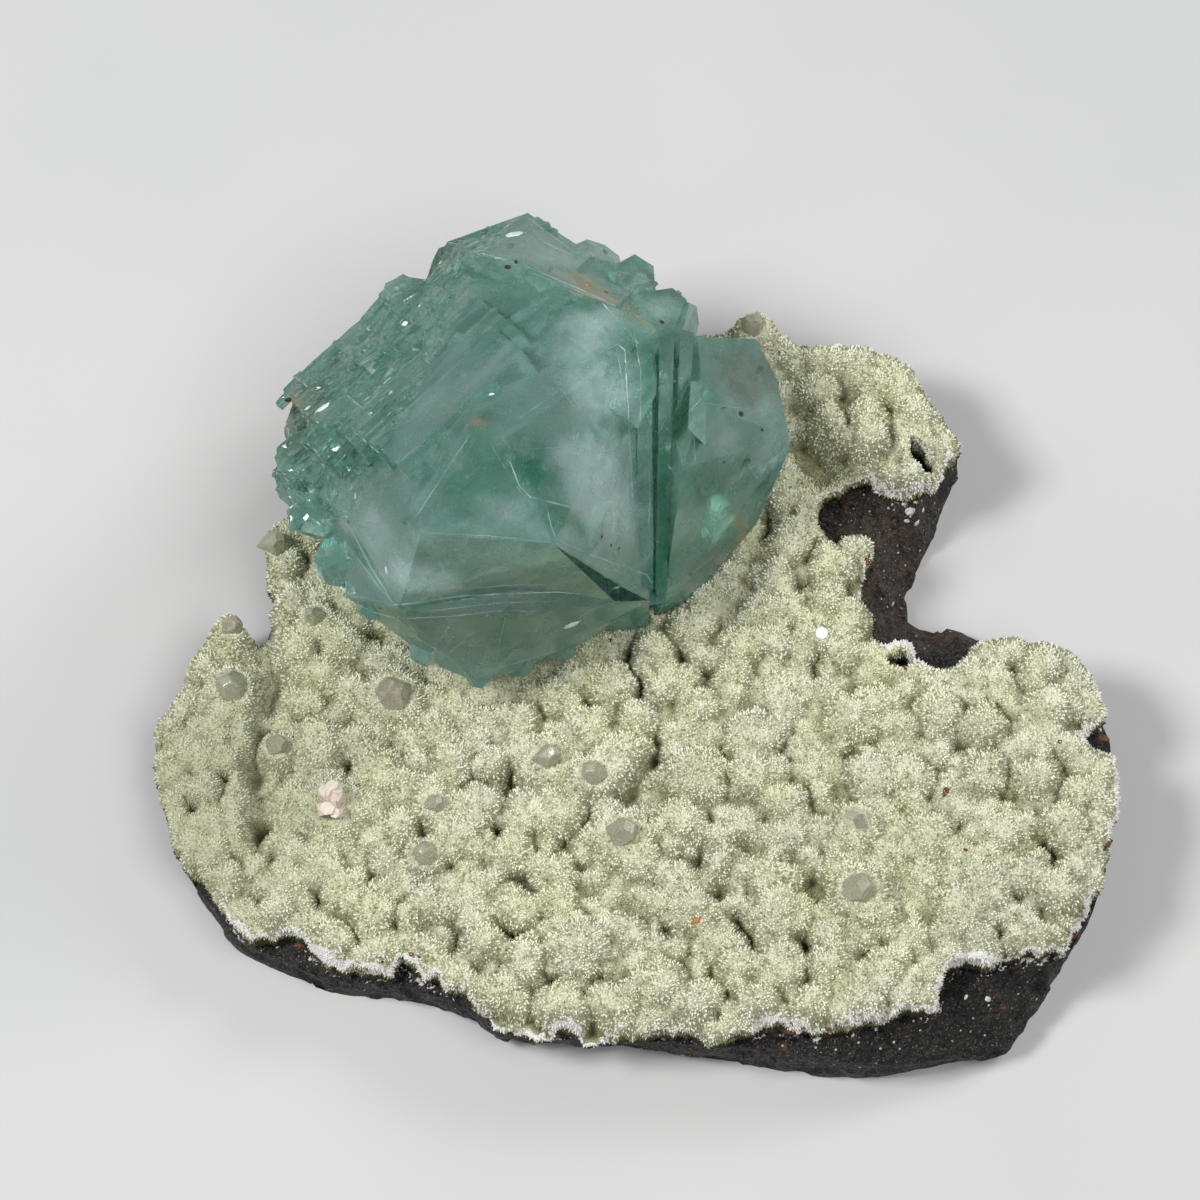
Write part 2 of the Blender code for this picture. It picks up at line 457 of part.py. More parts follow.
class Stone:
    """Plan and heights of the basalt slab."""

    def __init__(self, crust):
        self.crust = crust
        rows = closed_curve(STONE_OUTLINE, STONE_EDGE_STEP)
        self.edge = rows[:, :2]
        self.drop = np.maximum(rows[:, 2], 0.0)
        self.undercut = rows[:, 3]

    def top(self, points):
        """Height of the stone: flat under the crust, falling to the edge where it is bare."""
        flat = level(points[:, 0]) - CRUST_DEPTH
        covered = inside(points, self.crust.edge)
        to_crust = ring_distance(points, self.crust.edge)
        to_edge = ring_distance(points, self.edge)
        nearest = np.argmin(np.linalg.norm(points[:, None, :] - self.edge[None, :, :], axis=2), axis=1)
        share = to_crust / np.maximum(to_crust + to_edge, 1e-6)
        fall = self.drop[nearest] * share ** STONE_FALL_POWER
        wave = np.sin(points[:, 0] * 1.9) * np.cos(points[:, 1] * 1.7)
        rough = STONE_ROUGH * wave * np.sin(math.pi * share)
        return np.where(covered, flat, np.maximum(flat - fall + rough, STONE_LEAST))


def triangles(points, rings):
    """Triangles of a plan between its outer ring and its holes, with the points used."""
    coords = [Vector(p) for p in points]
    sides = []
    start = 0
    for ring in rings:
        count = len(ring)
        sides += [(start + i, start + (i + 1) % count) for i in range(count)]
        start += count
    found = delaunay_2d_cdt(coords, sides, [], 0, 1e-5)
    plan = np.array([tuple(v) for v in found[0]])
    faces = np.array([f for f in found[2]])
    middle = plan[faces].mean(axis=1)
    keep = inside(middle, rings[0])
    for ring in rings[1:]:
        keep &= ~inside(middle, ring)
    return plan, faces[keep]


def slab_mesh(name, rings, upper_plan, upper_z, lower_plan, lower_z, belts):
    """Closed solid between an upper and a lower sheet that share the plan of their rings.

    belts holds, for each ring, the loops of 3D points between the sheets, from top down.
    """
    bm = bmesh.new()
    upper_points, upper_faces = triangles(upper_plan, rings)
    upper = [bm.verts.new((x, y, z)) for (x, y), z in zip(upper_points, upper_z(upper_points))]
    for a, b, c in upper_faces:
        bm.faces.new((upper[a], upper[b], upper[c]))
    lower_rings = []
    start = 0
    for ring in rings:
        lower_rings.append(np.asarray(lower_plan[start:start + len(ring)]))
        start += len(ring)
    lower_points, lower_faces = triangles(lower_plan, lower_rings)
    lower = [bm.verts.new((x, y, z)) for (x, y), z in zip(lower_points, lower_z(lower_points))]
    for a, b, c in lower_faces:
        bm.faces.new((lower[c], lower[b], lower[a]))
    start = 0
    for ring, loops in zip(rings, belts):
        count = len(ring)
        rows = [upper[start:start + count]]
        rows += [[bm.verts.new(p) for p in loop] for loop in loops]
        rows.append(lower[start:start + count])
        for above, below in zip(rows, rows[1:]):
            for i in range(count):
                j = (i + 1) % count
                bm.faces.new((above[j], above[i], below[i], below[j]))
        start += count
    loose = [v for v in bm.verts if not v.link_faces]
    bmesh.ops.delete(bm, geom=loose, context="VERTS")
    return finish_mesh(name, bm)


def finish_mesh(name, bm):
    """Triangulate, point the faces outwards and write the mesh in metres."""
    bmesh.ops.remove_doubles(bm, verts=bm.verts, dist=0.002)
    bmesh.ops.triangulate(bm, faces=bm.faces)
    bmesh.ops.recalc_face_normals(bm, faces=bm.faces)
    bmesh.ops.scale(bm, vec=(MM, MM, MM), verts=bm.verts)
    mesh = bpy.data.meshes.new(name)
    bm.to_mesh(mesh)
    bm.free()
    return mesh


def add_node(name, mesh, finish, collection):
    """Named object with its own material."""
    node = bpy.data.objects.new(name, mesh)
    collection.objects.link(node)
    colour, roughness, clear, refraction = FINISHES[finish]
    material = bpy.data.materials.new(name + "_finish")
    material.use_nodes = True
    shader = material.node_tree.nodes["Principled BSDF"]
    shader.inputs["Base Color"].default_value = (*colour, 1.0)
    shader.inputs["Roughness"].default_value = roughness
    shader.inputs["Metallic"].default_value = 0.0
    shader.inputs["Transmission Weight"].default_value = clear
    shader.inputs["IOR"].default_value = refraction
    mesh.materials.clear()
    mesh.materials.append(material)
    return node


def hull(bm, corners):
    """Convex block through a crystal's corners."""
    verts = [bm.verts.new(c) for c in corners]
    made = bmesh.ops.convex_hull(bm, input=verts)
    spare = [v for v in made["geom_interior"] + made["geom_unused"] if isinstance(v, bmesh.types.BMVert)]
    if spare:
        bmesh.ops.delete(bm, geom=list(set(spare)), context="VERTS")


def tetragonal(bm, half_a, half_b, length, blunt):
    """Square prism up to z = 0 whose corners are cut by the four pyramid faces."""
    bmesh.ops.create_cube(bm, size=1.0)
    bmesh.ops.scale(bm, vec=(2.0 * half_a, 2.0 * half_b, length), verts=bm.verts)
    bmesh.ops.translate(bm, vec=(0.0, 0.0, -length / 2.0), verts=bm.verts)
    corner = math.atan2(half_b, half_a)
    for angle in (corner, math.pi - corner, math.pi + corner, -corner):
        out = Vector((math.cos(angle), math.sin(angle), 0.0))
        normal = out * math.sin(PYRAMID_ANGLE) + Vector((0.0, 0.0, math.cos(PYRAMID_ANGLE)))
        cut = bmesh.ops.bisect_plane(bm, geom=bm.verts[:] + bm.edges[:] + bm.faces[:], dist=1e-5,
                                     plane_co=out * blunt, plane_no=normal, clear_outer=True)
        rim = [e for e in cut["geom_cut"] if isinstance(e, bmesh.types.BMEdge)]
        bmesh.ops.edgeloop_fill(bm, edges=rim)


def toward(axis, roll):
    """Rotation that turns +Z to the axis, after a roll about it."""
    return axis.to_track_quat("Z", "Y").to_matrix().to_4x4() @ Matrix.Rotation(roll, 4, "Z")


def cutter_object(name, bm, guides):
    """A solid, in millimetres, that is joined to the ball and isn't a part itself."""
    bmesh.ops.remove_doubles(bm, verts=bm.verts, dist=1e-4)
    bmesh.ops.recalc_face_normals(bm, faces=bm.faces)
    mesh = bpy.data.meshes.new(name)
    bm.to_mesh(mesh)
    bm.free()
    guide = bpy.data.objects.new(name, mesh)
    guide.hide_render = True
    guide.display_type = "WIRE"
    guides.objects.link(guide)
    return guide


def block_solids(guides):
    """The large crystals of the ball."""
    solids = []
    for name, corners in BALL_BLOCKS.items():
        bm = bmesh.new()
        hull(bm, corners)
        solids.append(cutter_object("block_" + name, bm, guides))
    return solids


def crystal_solids(guides):
    """The pointed crystals that spread from the core of the ball."""
    solids = []
    for index, (tip, half_a, half_b, length, blunt, roll) in enumerate(BALL_CRYSTALS):
        bm = bmesh.new()
        tetragonal(bm, half_a, half_b, length, blunt)
        tip = Vector(tip)
        turn = toward((tip - BALL_CORE).normalized(), math.radians(roll))
        bmesh.ops.transform(bm, matrix=Matrix.Translation(tip) @ turn, verts=bm.verts)
        solids.append(cutter_object(f"crystal_{index:02d}", bm, guides))
    return solids


def terrace_solids(guides):
    """Long blocks stepped like shingles down the upper left of the ball."""
    rng = random.Random(TERRACE_SEED)
    run = TERRACE_RUN.normalized()
    slope = (TERRACE_INNER - TERRACE_OUTER).normalized()
    slope = (slope - run * slope.dot(run)).normalized()
    up = run.cross(slope).normalized()
    if up.z < 0.0:
        up.negate()
    frame = Matrix((run, slope, up)).transposed().to_4x4()
    solids = []
    for k in range(TERRACE_COUNT):
        share = k / (TERRACE_COUNT - 1)
        middle = TERRACE_OUTER.lerp(TERRACE_INNER, share)
        middle = middle + run * rng.uniform(-1.6, 1.6) - up * TERRACE_HALF_HEIGHT * 0.75
        swell = math.sin(math.pi * (0.12 + 0.66 * share))
        half_length = TERRACE_HALF_LENGTH[0] + swell * (TERRACE_HALF_LENGTH[1] - TERRACE_HALF_LENGTH[0])
        bm = bmesh.new()
        bmesh.ops.create_cube(bm, size=2.0)
        bmesh.ops.scale(bm, vec=(half_length, TERRACE_HALF_WIDTH, TERRACE_HALF_HEIGHT), verts=bm.verts)
        tilt = Matrix.Rotation(-TERRACE_TILT + rng.uniform(-0.04, 0.04), 4, "X")
        bmesh.ops.transform(bm, matrix=Matrix.Translation(middle) @ frame @ tilt, verts=bm.verts)
        solids.append(cutter_object(f"terrace_{k}", bm, guides))
    return solids


def join_solids(solids):
    """Union of overlapping solids, as one mesh in millimetres."""
    base = solids[0]
    for other in solids[1:]:
        step = base.modifiers.new(other.name, "BOOLEAN")
        step.operation = "UNION"
        step.solver = "EXACT"
        step.object = other
    graph = bpy.context.evaluated_depsgraph_get()
    mesh = bpy.data.meshes.new_from_object(base.evaluated_get(graph))
    for other in solids[1:]:
        base.modifiers.remove(base.modifiers[other.name])
    return mesh


def build_ball(guides, collection):
    """The intergrown apophyllite crystals, joined in one solid."""
    solids = block_solids(guides) + terrace_solids(guides) + crystal_solids(guides)
    joined = join_solids(solids)
    bm = bmesh.new()
    bm.from_mesh(joined)
    bpy.data.meshes.remove(joined)
    bmesh.ops.remove_doubles(bm, verts=bm.verts, dist=0.02)
    bmesh.ops.dissolve_degenerate(bm, edges=bm.edges, dist=0.02)
    return add_node("apophyllite_cluster", finish_mesh("apophyllite_cluster", bm), "apophyllite", collection)


def tree_of(node):
    """Search tree of a node's faces, in metres."""
    bm = bmesh.new()
    bm.from_mesh(node.data)
    tree = BVHTree.FromBMesh(bm)
    bm.free()
    return tree


def ceiling(tree, x, y):
    """Lowest underside of the ball, in millimetres, over a small round of the crust."""
    lowest = 1e9
    for reach in (0.0, 0.5 * SOCKET_REACH, SOCKET_REACH):
        for k in range(8 if reach else 1):
            angle = k * math.pi / 4.0
            start = Vector(((x + reach * math.cos(angle)) * MM, (y + reach * math.sin(angle)) * MM, -1.0))
            hit = tree.ray_cast(start, Vector((0.0, 0.0, 1.0)))[0]
            if hit is not None:
                lowest = min(lowest, hit.z / MM)
    return lowest


def build_crust(ball, crust, stone, collection):
    """The druse crust, hollowed where the ball stands on it."""
    ball_tree = tree_of(ball)
    rings = [crust.edge, *crust.holes]

    def upper_z(points):
        height = crust.top(points)
        for i, (x, y) in enumerate(points):
            height[i] = min(height[i], ceiling(ball_tree, x, y) - 1.5 * TOUCH_GAP)
        return np.maximum(height, level(points[:, 0]) - CRUST_DEPTH + CRUST_LEAST)

    def lower_z(points):
        return level(points[:, 0]) - CRUST_DEPTH + TOUCH_GAP

    upper_plan = np.vstack([*rings, crust.sample_points()])
    back = spread(crust.edge, CRUST_BACK_STEP, 8, 2.5)
    for hole in crust.holes:
        back = back[~inside(back, hole)]
    lower_plan = np.vstack([*rings, back])
    belts = [[] for _ in rings]
    mesh = slab_mesh("druse_crust", rings, upper_plan, upper_z, lower_plan, lower_z, belts)
    return add_node("druse_crust", mesh, "druse", collection)


def build_stone(stone, crust, collection):
    """The basalt slab, flat below, with its broken edge and the bare slope of the notch."""
    foot = inward(stone.edge, stone.undercut)
    fill = spread(stone.edge, STONE_FILL_STEP, 4, 1.6)
    rim = crust.edge[inside(crust.edge, stone.edge)]
    rim = rim[ring_distance(rim, stone.edge) > 1.2]
    fill = apart(fill, np.vstack([rim, stone.edge]), 2.0)
    upper_plan = np.vstack([stone.edge, rim, fill])
    edge_z = stone.top(stone.edge)
    belt_plan = inward(stone.edge, STONE_BELT_WAVE * (stone.undercut - 1.0))
    belt = [(x, y, z * STONE_BELT_SHARE + STONE_BELT_WAVE * math.sin(5.0 * x + 3.0 * y))
            for (x, y), z in zip(belt_plan, edge_z)]

    def lower_z(points):
        return np.zeros(len(points))

    mesh = slab_mesh("basalt_matrix", [stone.edge], upper_plan, stone.top, foot, lower_z, [[belt]])
    return add_node("basalt_matrix", mesh, "basalt", collection)


def seat_height(tree, x, y, reach):
    """Lowest height, in millimetres, at which a small base clears the crust."""
    highest = 0.0
    for away in (0.0, 0.4 * reach, 0.7 * reach, reach):
        for k in range(12 if away else 1):
            angle = k * math.pi / 6.0
            start = Vector(((x + away * math.cos(angle)) * MM, (y + away * math.sin(angle)) * MM, 1.0))
            hit = tree.ray_cast(start, Vector((0.0, 0.0, -1.0)))[0]
            if hit is not None:
                highest = max(highest, hit.z / MM)
    return highest + TOUCH_GAP


def build_glassy(tree, collection):
    """The small clear crystals, each standing on the crust."""
    for index, (x, y, half, height, lean) in enumerate(GLASSY_CRYSTALS):
        bm = bmesh.new()
        tetragonal(bm, half, half * GLASSY_FLATNESS, 3.0 * height, GLASSY_BLUNT * half)
        lean_turn = Matrix.Rotation(math.radians(lean), 4, "Y") @ Matrix.Rotation(1.3 * index, 4, "Z")
        bmesh.ops.transform(bm, matrix=lean_turn, verts=bm.verts)
        bmesh.ops.translate(bm, vec=(0.0, 0.0, height), verts=bm.verts)
        cut = bmesh.ops.bisect_plane(bm, geom=bm.verts[:] + bm.edges[:] + bm.faces[:], dist=1e-5,
                                     plane_co=(0.0, 0.0, 0.0), plane_no=(0.0, 0.0, -1.0), clear_outer=True)
        rim = [e for e in cut["geom_cut"] if isinstance(e, bmesh.types.BMEdge)]
        bmesh.ops.edgeloop_fill(bm, edges=rim)
        seat = seat_height(tree, x, y, GLASSY_SEAT * half)
        bmesh.ops.translate(bm, vec=(x, y, seat), verts=bm.verts)
        name = f"glassy_crystal_{index + 1:02d}"
        add_node(name, finish_mesh(name, bm), "glassy", collection)


def build_stilbite(tree, guides, collection):
    """The pink bud, a small sheaf of blunt blades."""
    solids = []
    for index, (x, y, turn, lean, size) in enumerate(STILBITE_BLADES):
        bm = bmesh.new()
        tetragonal(bm, 0.75 * size, 0.5 * size, 2.6 * size, 0.5 * size)
        height = 1.35 * size + STILBITE_LIFT
        place = (Matrix.Translation((x, y, height)) @ Matrix.Rotation(math.radians(turn), 4, "Z")
                 @ Matrix.Rotation(math.radians(-lean), 4, "X"))
        bmesh.ops.transform(bm, matrix=place, verts=bm.verts)
        solids.append(cutter_object(f"blade_{index}", bm, guides))
    joined = join_solids(solids)
    bm = bmesh.new()
    bm.from_mesh(joined)
    bpy.data.meshes.remove(joined)
    cut = bmesh.ops.bisect_plane(bm, geom=bm.verts[:] + bm.edges[:] + bm.faces[:], dist=1e-5,
                                 plane_co=(0.0, 0.0, 0.0), plane_no=(0.0, 0.0, -1.0), clear_outer=True)
    rim = [e for e in cut["geom_cut"] if isinstance(e, bmesh.types.BMEdge)]
    if rim:
        bmesh.ops.holes_fill(bm, edges=rim)
    x, y = STILBITE_PLACE
    seat = seat_height(tree, x, y, STILBITE_REACH)
    bmesh.ops.translate(bm, vec=(x, y, seat), verts=bm.verts)
    add_node("stilbite_bud", finish_mesh("stilbite_bud", bm), "stilbite", collection)


def build_flake(tree, collection):
    """The bright white flake, a thin six-sided plate lying on the crust."""
    bm = bmesh.new()
    bmesh.ops.create_cone(bm, cap_ends=True, segments=6, radius1=FLAKE_RADIUS,
                          radius2=FLAKE_RADIUS * 0.85, depth=FLAKE_THICKNESS)
    bmesh.ops.rotate(bm, cent=(0.0, 0.0, 0.0), matrix=Matrix.Rotation(math.radians(14.0), 3, "X"),
                     verts=bm.verts)
    x, y = FLAKE_PLACE
    lift = seat_height(tree, x, y, FLAKE_RADIUS) + FLAKE_THICKNESS
    bmesh.ops.translate(bm, vec=(x, y, lift), verts=bm.verts)
    add_node("white_flake", finish_mesh("white_flake", bm), "flake", collection)


def centre_plan(collection):
    """Move every mesh so that the middle of the part's box stands on the origin."""
    corners = [v.co for node in collection.objects for v in node.data.vertices]
    low = Vector(min(c[i] for c in corners) for i in range(3))
    high = Vector(max(c[i] for c in corners) for i in range(3))
    shift = Vector((-(low.x + high.x) / 2.0, -(low.y + high.y) / 2.0, -low.z))
    for node in collection.objects:
        node.data.transform(Matrix.Translation(shift))
    return shift


def clear_scene():
    """Start from an empty file."""
    for item in list(bpy.data.objects):
        bpy.data.objects.remove(item, do_unlink=True)


def main():
    """Build every piece of the specimen."""
    clear_scene()
    parts = bpy.data.collections.new("apophyllite_on_basalt")
    guides = bpy.data.collections.new("joining_solids")
    bpy.context.scene.collection.children.link(parts)
    bpy.context.scene.collection.children.link(guides)
    crust = Crust()
    stone = Stone(crust)
    ball = build_ball(guides, parts)
    crust_node = build_crust(ball, crust, stone, parts)
    build_stone(stone, crust, parts)
    crust_tree = tree_of(crust_node)
    build_glassy(crust_tree, parts)
    build_stilbite(crust_tree, guides, parts)
    build_flake(crust_tree, parts)
    for guide in list(guides.objects):
        bpy.data.objects.remove(guide, do_unlink=True)
    shift = centre_plan(parts)
    print("centred by", [round(s / MM, 2) for s in shift])


main()
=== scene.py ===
"""Looks of an apophyllite cluster that grew on a druse-crusted slab of basalt.

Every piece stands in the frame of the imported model: the specimen lies on its flat
underside, X runs along the slab, Y across it and Z is up. Sizes in the lists and fields are
millimetres, and every mesh is written in metres.
"""

import json
import logging
import math
import random
from dataclasses import dataclass, field
from enum import Enum
from typing import Iterable, Sequence

import bmesh
import bpy
import numpy as np
from bmesh.types import BMEdge, BMesh
from bpy.types import Collection, Material, Mesh, Node, NodeSocket, NodeTree, Object
from mathutils import Matrix, Vector
from mathutils.bvhtree import BVHTree
from mathutils.kdtree import KDTree
from mathutils.geometry import delaunay_2d_cdt

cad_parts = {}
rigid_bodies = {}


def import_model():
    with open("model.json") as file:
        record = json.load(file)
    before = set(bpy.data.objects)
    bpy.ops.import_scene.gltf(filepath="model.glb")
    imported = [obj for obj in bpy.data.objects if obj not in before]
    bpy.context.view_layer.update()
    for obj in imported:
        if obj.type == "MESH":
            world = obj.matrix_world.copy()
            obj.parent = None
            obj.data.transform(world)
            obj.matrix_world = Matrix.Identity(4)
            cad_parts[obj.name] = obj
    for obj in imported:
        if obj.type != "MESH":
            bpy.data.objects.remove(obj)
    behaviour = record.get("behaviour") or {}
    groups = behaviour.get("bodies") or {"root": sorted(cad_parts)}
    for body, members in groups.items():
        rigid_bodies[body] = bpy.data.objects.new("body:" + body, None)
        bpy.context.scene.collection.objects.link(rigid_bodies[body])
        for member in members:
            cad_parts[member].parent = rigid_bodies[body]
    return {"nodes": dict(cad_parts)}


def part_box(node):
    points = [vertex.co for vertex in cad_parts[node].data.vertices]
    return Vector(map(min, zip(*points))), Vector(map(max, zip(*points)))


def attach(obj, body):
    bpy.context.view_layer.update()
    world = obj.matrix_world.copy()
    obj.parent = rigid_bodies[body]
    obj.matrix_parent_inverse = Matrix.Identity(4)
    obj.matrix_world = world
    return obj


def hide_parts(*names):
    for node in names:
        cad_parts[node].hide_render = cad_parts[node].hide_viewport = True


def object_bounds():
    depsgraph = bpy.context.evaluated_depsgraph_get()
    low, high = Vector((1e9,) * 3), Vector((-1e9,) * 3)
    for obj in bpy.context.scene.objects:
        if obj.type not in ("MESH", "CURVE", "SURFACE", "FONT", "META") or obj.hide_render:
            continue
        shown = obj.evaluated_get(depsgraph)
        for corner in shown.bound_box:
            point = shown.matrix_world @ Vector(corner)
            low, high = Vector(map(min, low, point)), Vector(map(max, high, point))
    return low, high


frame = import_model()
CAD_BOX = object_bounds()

LOG = logging.getLogger("specimen")
MM = 0.001
BODY = "root"
Colour = tuple[float, float, float]
NoiseLayers = Sequence[tuple[float, float, int]]

# The plan lists below are drawn about the middle of the crust, which lies here in the frame
PLAN_SHIFT = np.array([0.03, -1.36])

# Levels of the crust's upper side, and of the slab below it
LEVEL_AT_MIDDLE = 13.5
LEVEL_RISE = 0.055
CRUST_DEPTH = 5.3
CRUST_VALLEY = 3.3
CRUST_LEAST = 1.1
EDGE_ROLL = 1.7
EDGE_ROLL_WIDTH = 3.2
TOUCH_GAP = 0.3
LUMP_SINK = 0.4
LUMP_MELT = 0.36
LUMP_SHOULDER = 0.93
LUMP_STEEP = 1.5
BUD_MELT = 0.35
FILL_LUMP = (1.9, 2.9)
FILL_LUMP_RISE = (-1.9, -0.6)
FILL_LUMP_GAP = 3.1
FILL_LUMP_CLEAR = 0.4
FILL_SEED = 11
EDGE_CLEAR = 1.0

# Plan of the crust, clockwise from the tip of the left lobe
CRUST_OUTLINE = [
    (-51, 9.5), (-54, 6.5), (-56, 3.5), (-58, -1), (-59.8, -4.5), (-60.5, -10), (-60, -13),
    (-58.5, -17.5), (-57, -23), (-53.5, -26.5), (-50, -31.5), (-48, -33.5), (-45, -34), (-42, -33.5),
    (-39.5, -35.5), (-37, -37.5), (-31.5, -38.7), (-29.2, -38.5), (-28.3, -36.3), (-26, -39),
    (-22.5, -40.5), (-18.5, -43.5), (-16, -46), (-10.5, -47), (-8, -46), (-6, -47.5), (2, -47), (7, -47),
    (9, -48.3), (10.8, -47.8), (16.5, -46), (23.5, -47), (28.5, -46), (32.5, -45), (37, -44), (38, -40),
    (40, -38.5), (43, -39.5), (46.5, -37.5), (51, -37.5), (53.5, -36), (57, -30), (59.3, -23.5),
    (60.3, -16.5), (60, -11.5), (56.5, -9.3), (59.3, -6.8), (58.6, -3.2), (57, 0.5), (54, 2.8),
    (50.5, 4.5), (43, 4.5), (41, 2.5), (38, 0.5), (35, 4), (31.5, 4.5), (31, 8), (29.5, 10.5),
    (31, 16.5), (29.5, 19), (25.5, 19), (24, 21), (25, 23.2), (29, 25.5), (31.5, 24.2), (38.5, 24.2),
    (40.2, 27.5), (42, 30), (41.2, 33.5), (38.5, 38), (34.5, 42.7), (30.5, 44.5), (21.5, 46.7),
    (18, 48.6), (15, 49), (11, 47.3), (5, 48.8), (-4, 50.8), (-14.5, 50.4), (-24.5, 47), (-33.5, 41.5),
    (-40, 34), (-43, 25.5), (-45.6, 21), (-46.6, 15), (-46.2, 8.5), (-47.3, 6.6), (-49, 7.5),
]

# Places where the crust is missing and the stone shows: centre, half sizes, turn in degrees
BARE_SPOTS = [
    (36.6, 28.6, 1, 2.8, 22), (33.4, 1.2, 1.6, 1.1, 15),
]

# Furrows of the crust: from, to, depth, half width
FURROWS = [
    ((-47, 6.5), (-45.5, -1), 3, 2.4), ((-45.5, -1), (-45, -7.5), 3, 2.2),
    ((-45, -7.5), (-46.5, -12.5), 2.8, 2), ((-46.5, -12.5), (-46.3, -19.5), 2.6, 1.8),
    ((-46.3, -19.5), (-47.5, -23), 1.4, 1.4), ((22, 31), (24, 27.5), 2.4, 3),
    ((24, 27.5), (30, 26.5), 1.4, 2.2), ((16, 14), (12.5, 8.5), 1.9, 1.8),
    ((0, -15.5), (2.5, -11.5), 2.2, 1.3), ((14, -23), (11, -29), 2, 1.3),
    ((20, -25), (22.5, -29.5), 1.6, 1.1), ((-26, -32.5), (-22.5, -34.5), 1.8, 1.3),
    ((-19, -30.5), (-16, -29), 1.5, 1.5), ((40, -14.5), (41, -9), 1.5, 1.2),
    ((33, -28.5), (36, -33), 1.3, 1.1), ((-5.5, -28), (1.5, -32), 1.6, 1.2),
]

# Main botryoids of the crust: x, y, radius
MAIN_LUMPS = [
    (-51, 6, 2.5), (-53.5, 2, 2.5), (-50, -0.5, 2.6), (-52, -6, 2.5), (-48.5, -6.5, 2.2),
    (-53.5, -10, 2.5), (-50, -10.5, 2.2), (-47.3, -13, 2.5), (-53, -14.5, 2.5), (-49, -16.5, 2.6),
    (-52.5, -19, 2.2), (-48.7, -20, 2.5), (-51.5, -22.5, 2.5), (-50, -26, 2.2), (-44, 15.5, 2.6),
    (-42.5, 11, 2.5), (-42.5, 4, 3.5), (-38.5, 7, 2.6), (-36, 4.5, 3), (-43.7, -2, 2.3),
    (-38.5, 0.5, 2.6), (-39, -8.5, 4), (-31, -12, 3.2), (-42.5, -15.5, 2.5), (-34, -8, 2.5),
    (-29.5, -2, 3.2), (-31, 2, 2.5), (-35, -2.5, 2.5), (-24, -7.5, 2.6), (-22, -11.5, 3.1),
    (-17.3, -11.5, 2.5), (-29.5, -13.5, 2.5), (-25, -16, 3.5), (-21, -21, 4), (-29, -20, 2.5),
    (-42, -22.5, 2.5), (-42, -27, 2.8), (-38.5, -24.5, 3.2), (-35, -27.5, 2.8), (-44, -30.5, 2.4),
    (-36.5, -34.5, 2.5), (-32, -30.5, 3.8), (-25.5, -30.5, 3.2), (-19, -17.5, 3.5), (-15, -23.5, 3),
    (-14.5, -30.5, 2.5), (-18.5, -35, 3.1), (-13, -37, 3.2), (-15.5, -41, 2.5), (-9, -30, 3.1),
    (-6.8, -35.8, 5), (-9.5, -26, 2.5), (-1.5, -12, 5), (-6.5, -13.5, 3), (7.5, -14, 5), (6, -20, 4),
    (12, -25.5, 3.2), (7, -31, 3.1), (0.8, -25, 3.2), (15, -14, 4), (18.5, -17.5, 3.1),
    (17.5, -31.5, 4.1), (-14, -6.5, 3.1), (-9, -2.5, 2.2), (-2.5, -2, 3.5), (4.5, -1.5, 3.1),
    (3, 2.6, 3), (7.3, 5.5, 3), (13.5, 3, 3.8), (17, 4, 3), (13, 0, 2.5), (8.5, -4.7, 3.1), (1, -6.3, 3),
    (-5, -7.3, 3), (15, -8.5, 4.1), (-9, -18, 3.5), (-13, -18.5, 3), (-12, -13, 2.6), (26, 2, 2.8),
    (27, -7, 3.6), (30.5, -5, 3.4), (29.5, -14, 3.7), (34, -15, 3.2), (38, -6.5, 3.1), (43.5, -8, 3.3),
    (43, -14.5, 3.7), (49.5, -15, 3.2), (52, -5.3, 3.2), (50.5, -0.5, 2.8), (53.5, -21, 3.1),
    (36.5, -22, 3.5), (27, -22, 3.2), (26, -26.7, 3.2), (43, -29, 3.4), (48.5, -27.5, 3.2),
    (40.3, -32.5, 4), (52, -30, 3), (29, -32.3, 4), (24, -38.5, 3.5), (30.5, -39, 3), (18, -38.5, 3.2),
    (12.7, -38.5, 3.1), (3.3, -40.8, 3.2), (-2, -43.3, 3.2), (7.5, -43.5, 2.8), (15.5, -43, 2.8),
    (21.5, -43.3, 2.8), (27, -43, 2.6), (-8.3, -43.3, 2.8), (15.3, 46.5, 2.2), (25.5, 42, 2.6),
    (23.5, 38, 3), (31.5, 38.5, 2.8), (30, 34.5, 2.8), (36, 35, 2.4), (19.6, 16, 2.6), (17, 13, 3.2),
    (24.8, 14.5, 2.6), (24.5, 8.5, 2.8), (19.5, 8, 3), (27, 6, 2.6), (19, 23, 2.2),
]

# The two steep domes of the right-hand lobe: x, y, radius, extra rise
PROUD_LUMPS = [
    (24.6, 32.8, 2.9, 1.5), (29.8, 30.8, 3, 1.3),
]

# Stretches of the crust's rim that broke white and chalky: x, y, reach, strength
CHALK_STRETCHES = [
    (-47, -34, 6, 0.8), (-38, -36.5, 6, 1), (-28, -37.5, 6, 1), (-18, -44, 5, 0.6), (-9, -46.5, 6, 0.9),
    (4, -47.5, 5, 0.5), (18, -46.5, 5, 0.8), (30, -45.5, 5, 0.7), (38.5, -40, 6, 1), (47, -37.5, 6, 0.8),
    (54.5, -34, 5, 1), (60, -18, 6, 0.9), (57.5, -8, 4, 1), (59, -3, 3, 0.7), (34, 2.5, 3.5, 1),
    (41, 3, 4, 0.5), (30, 12, 4, 0.5), (31, 24.5, 5, 0.7), (39, 26, 4, 0.8), (36.4, 28.6, 4, 0.7),
    (-49, 8, 3, 0.4),
]

class Region(Enum):
    """Parts of the ball that carry different small crystals."""

    TERRACES = "terraces"
    BACK = "back"
    FOOT = "foot"
    SMOOTH = "smooth"


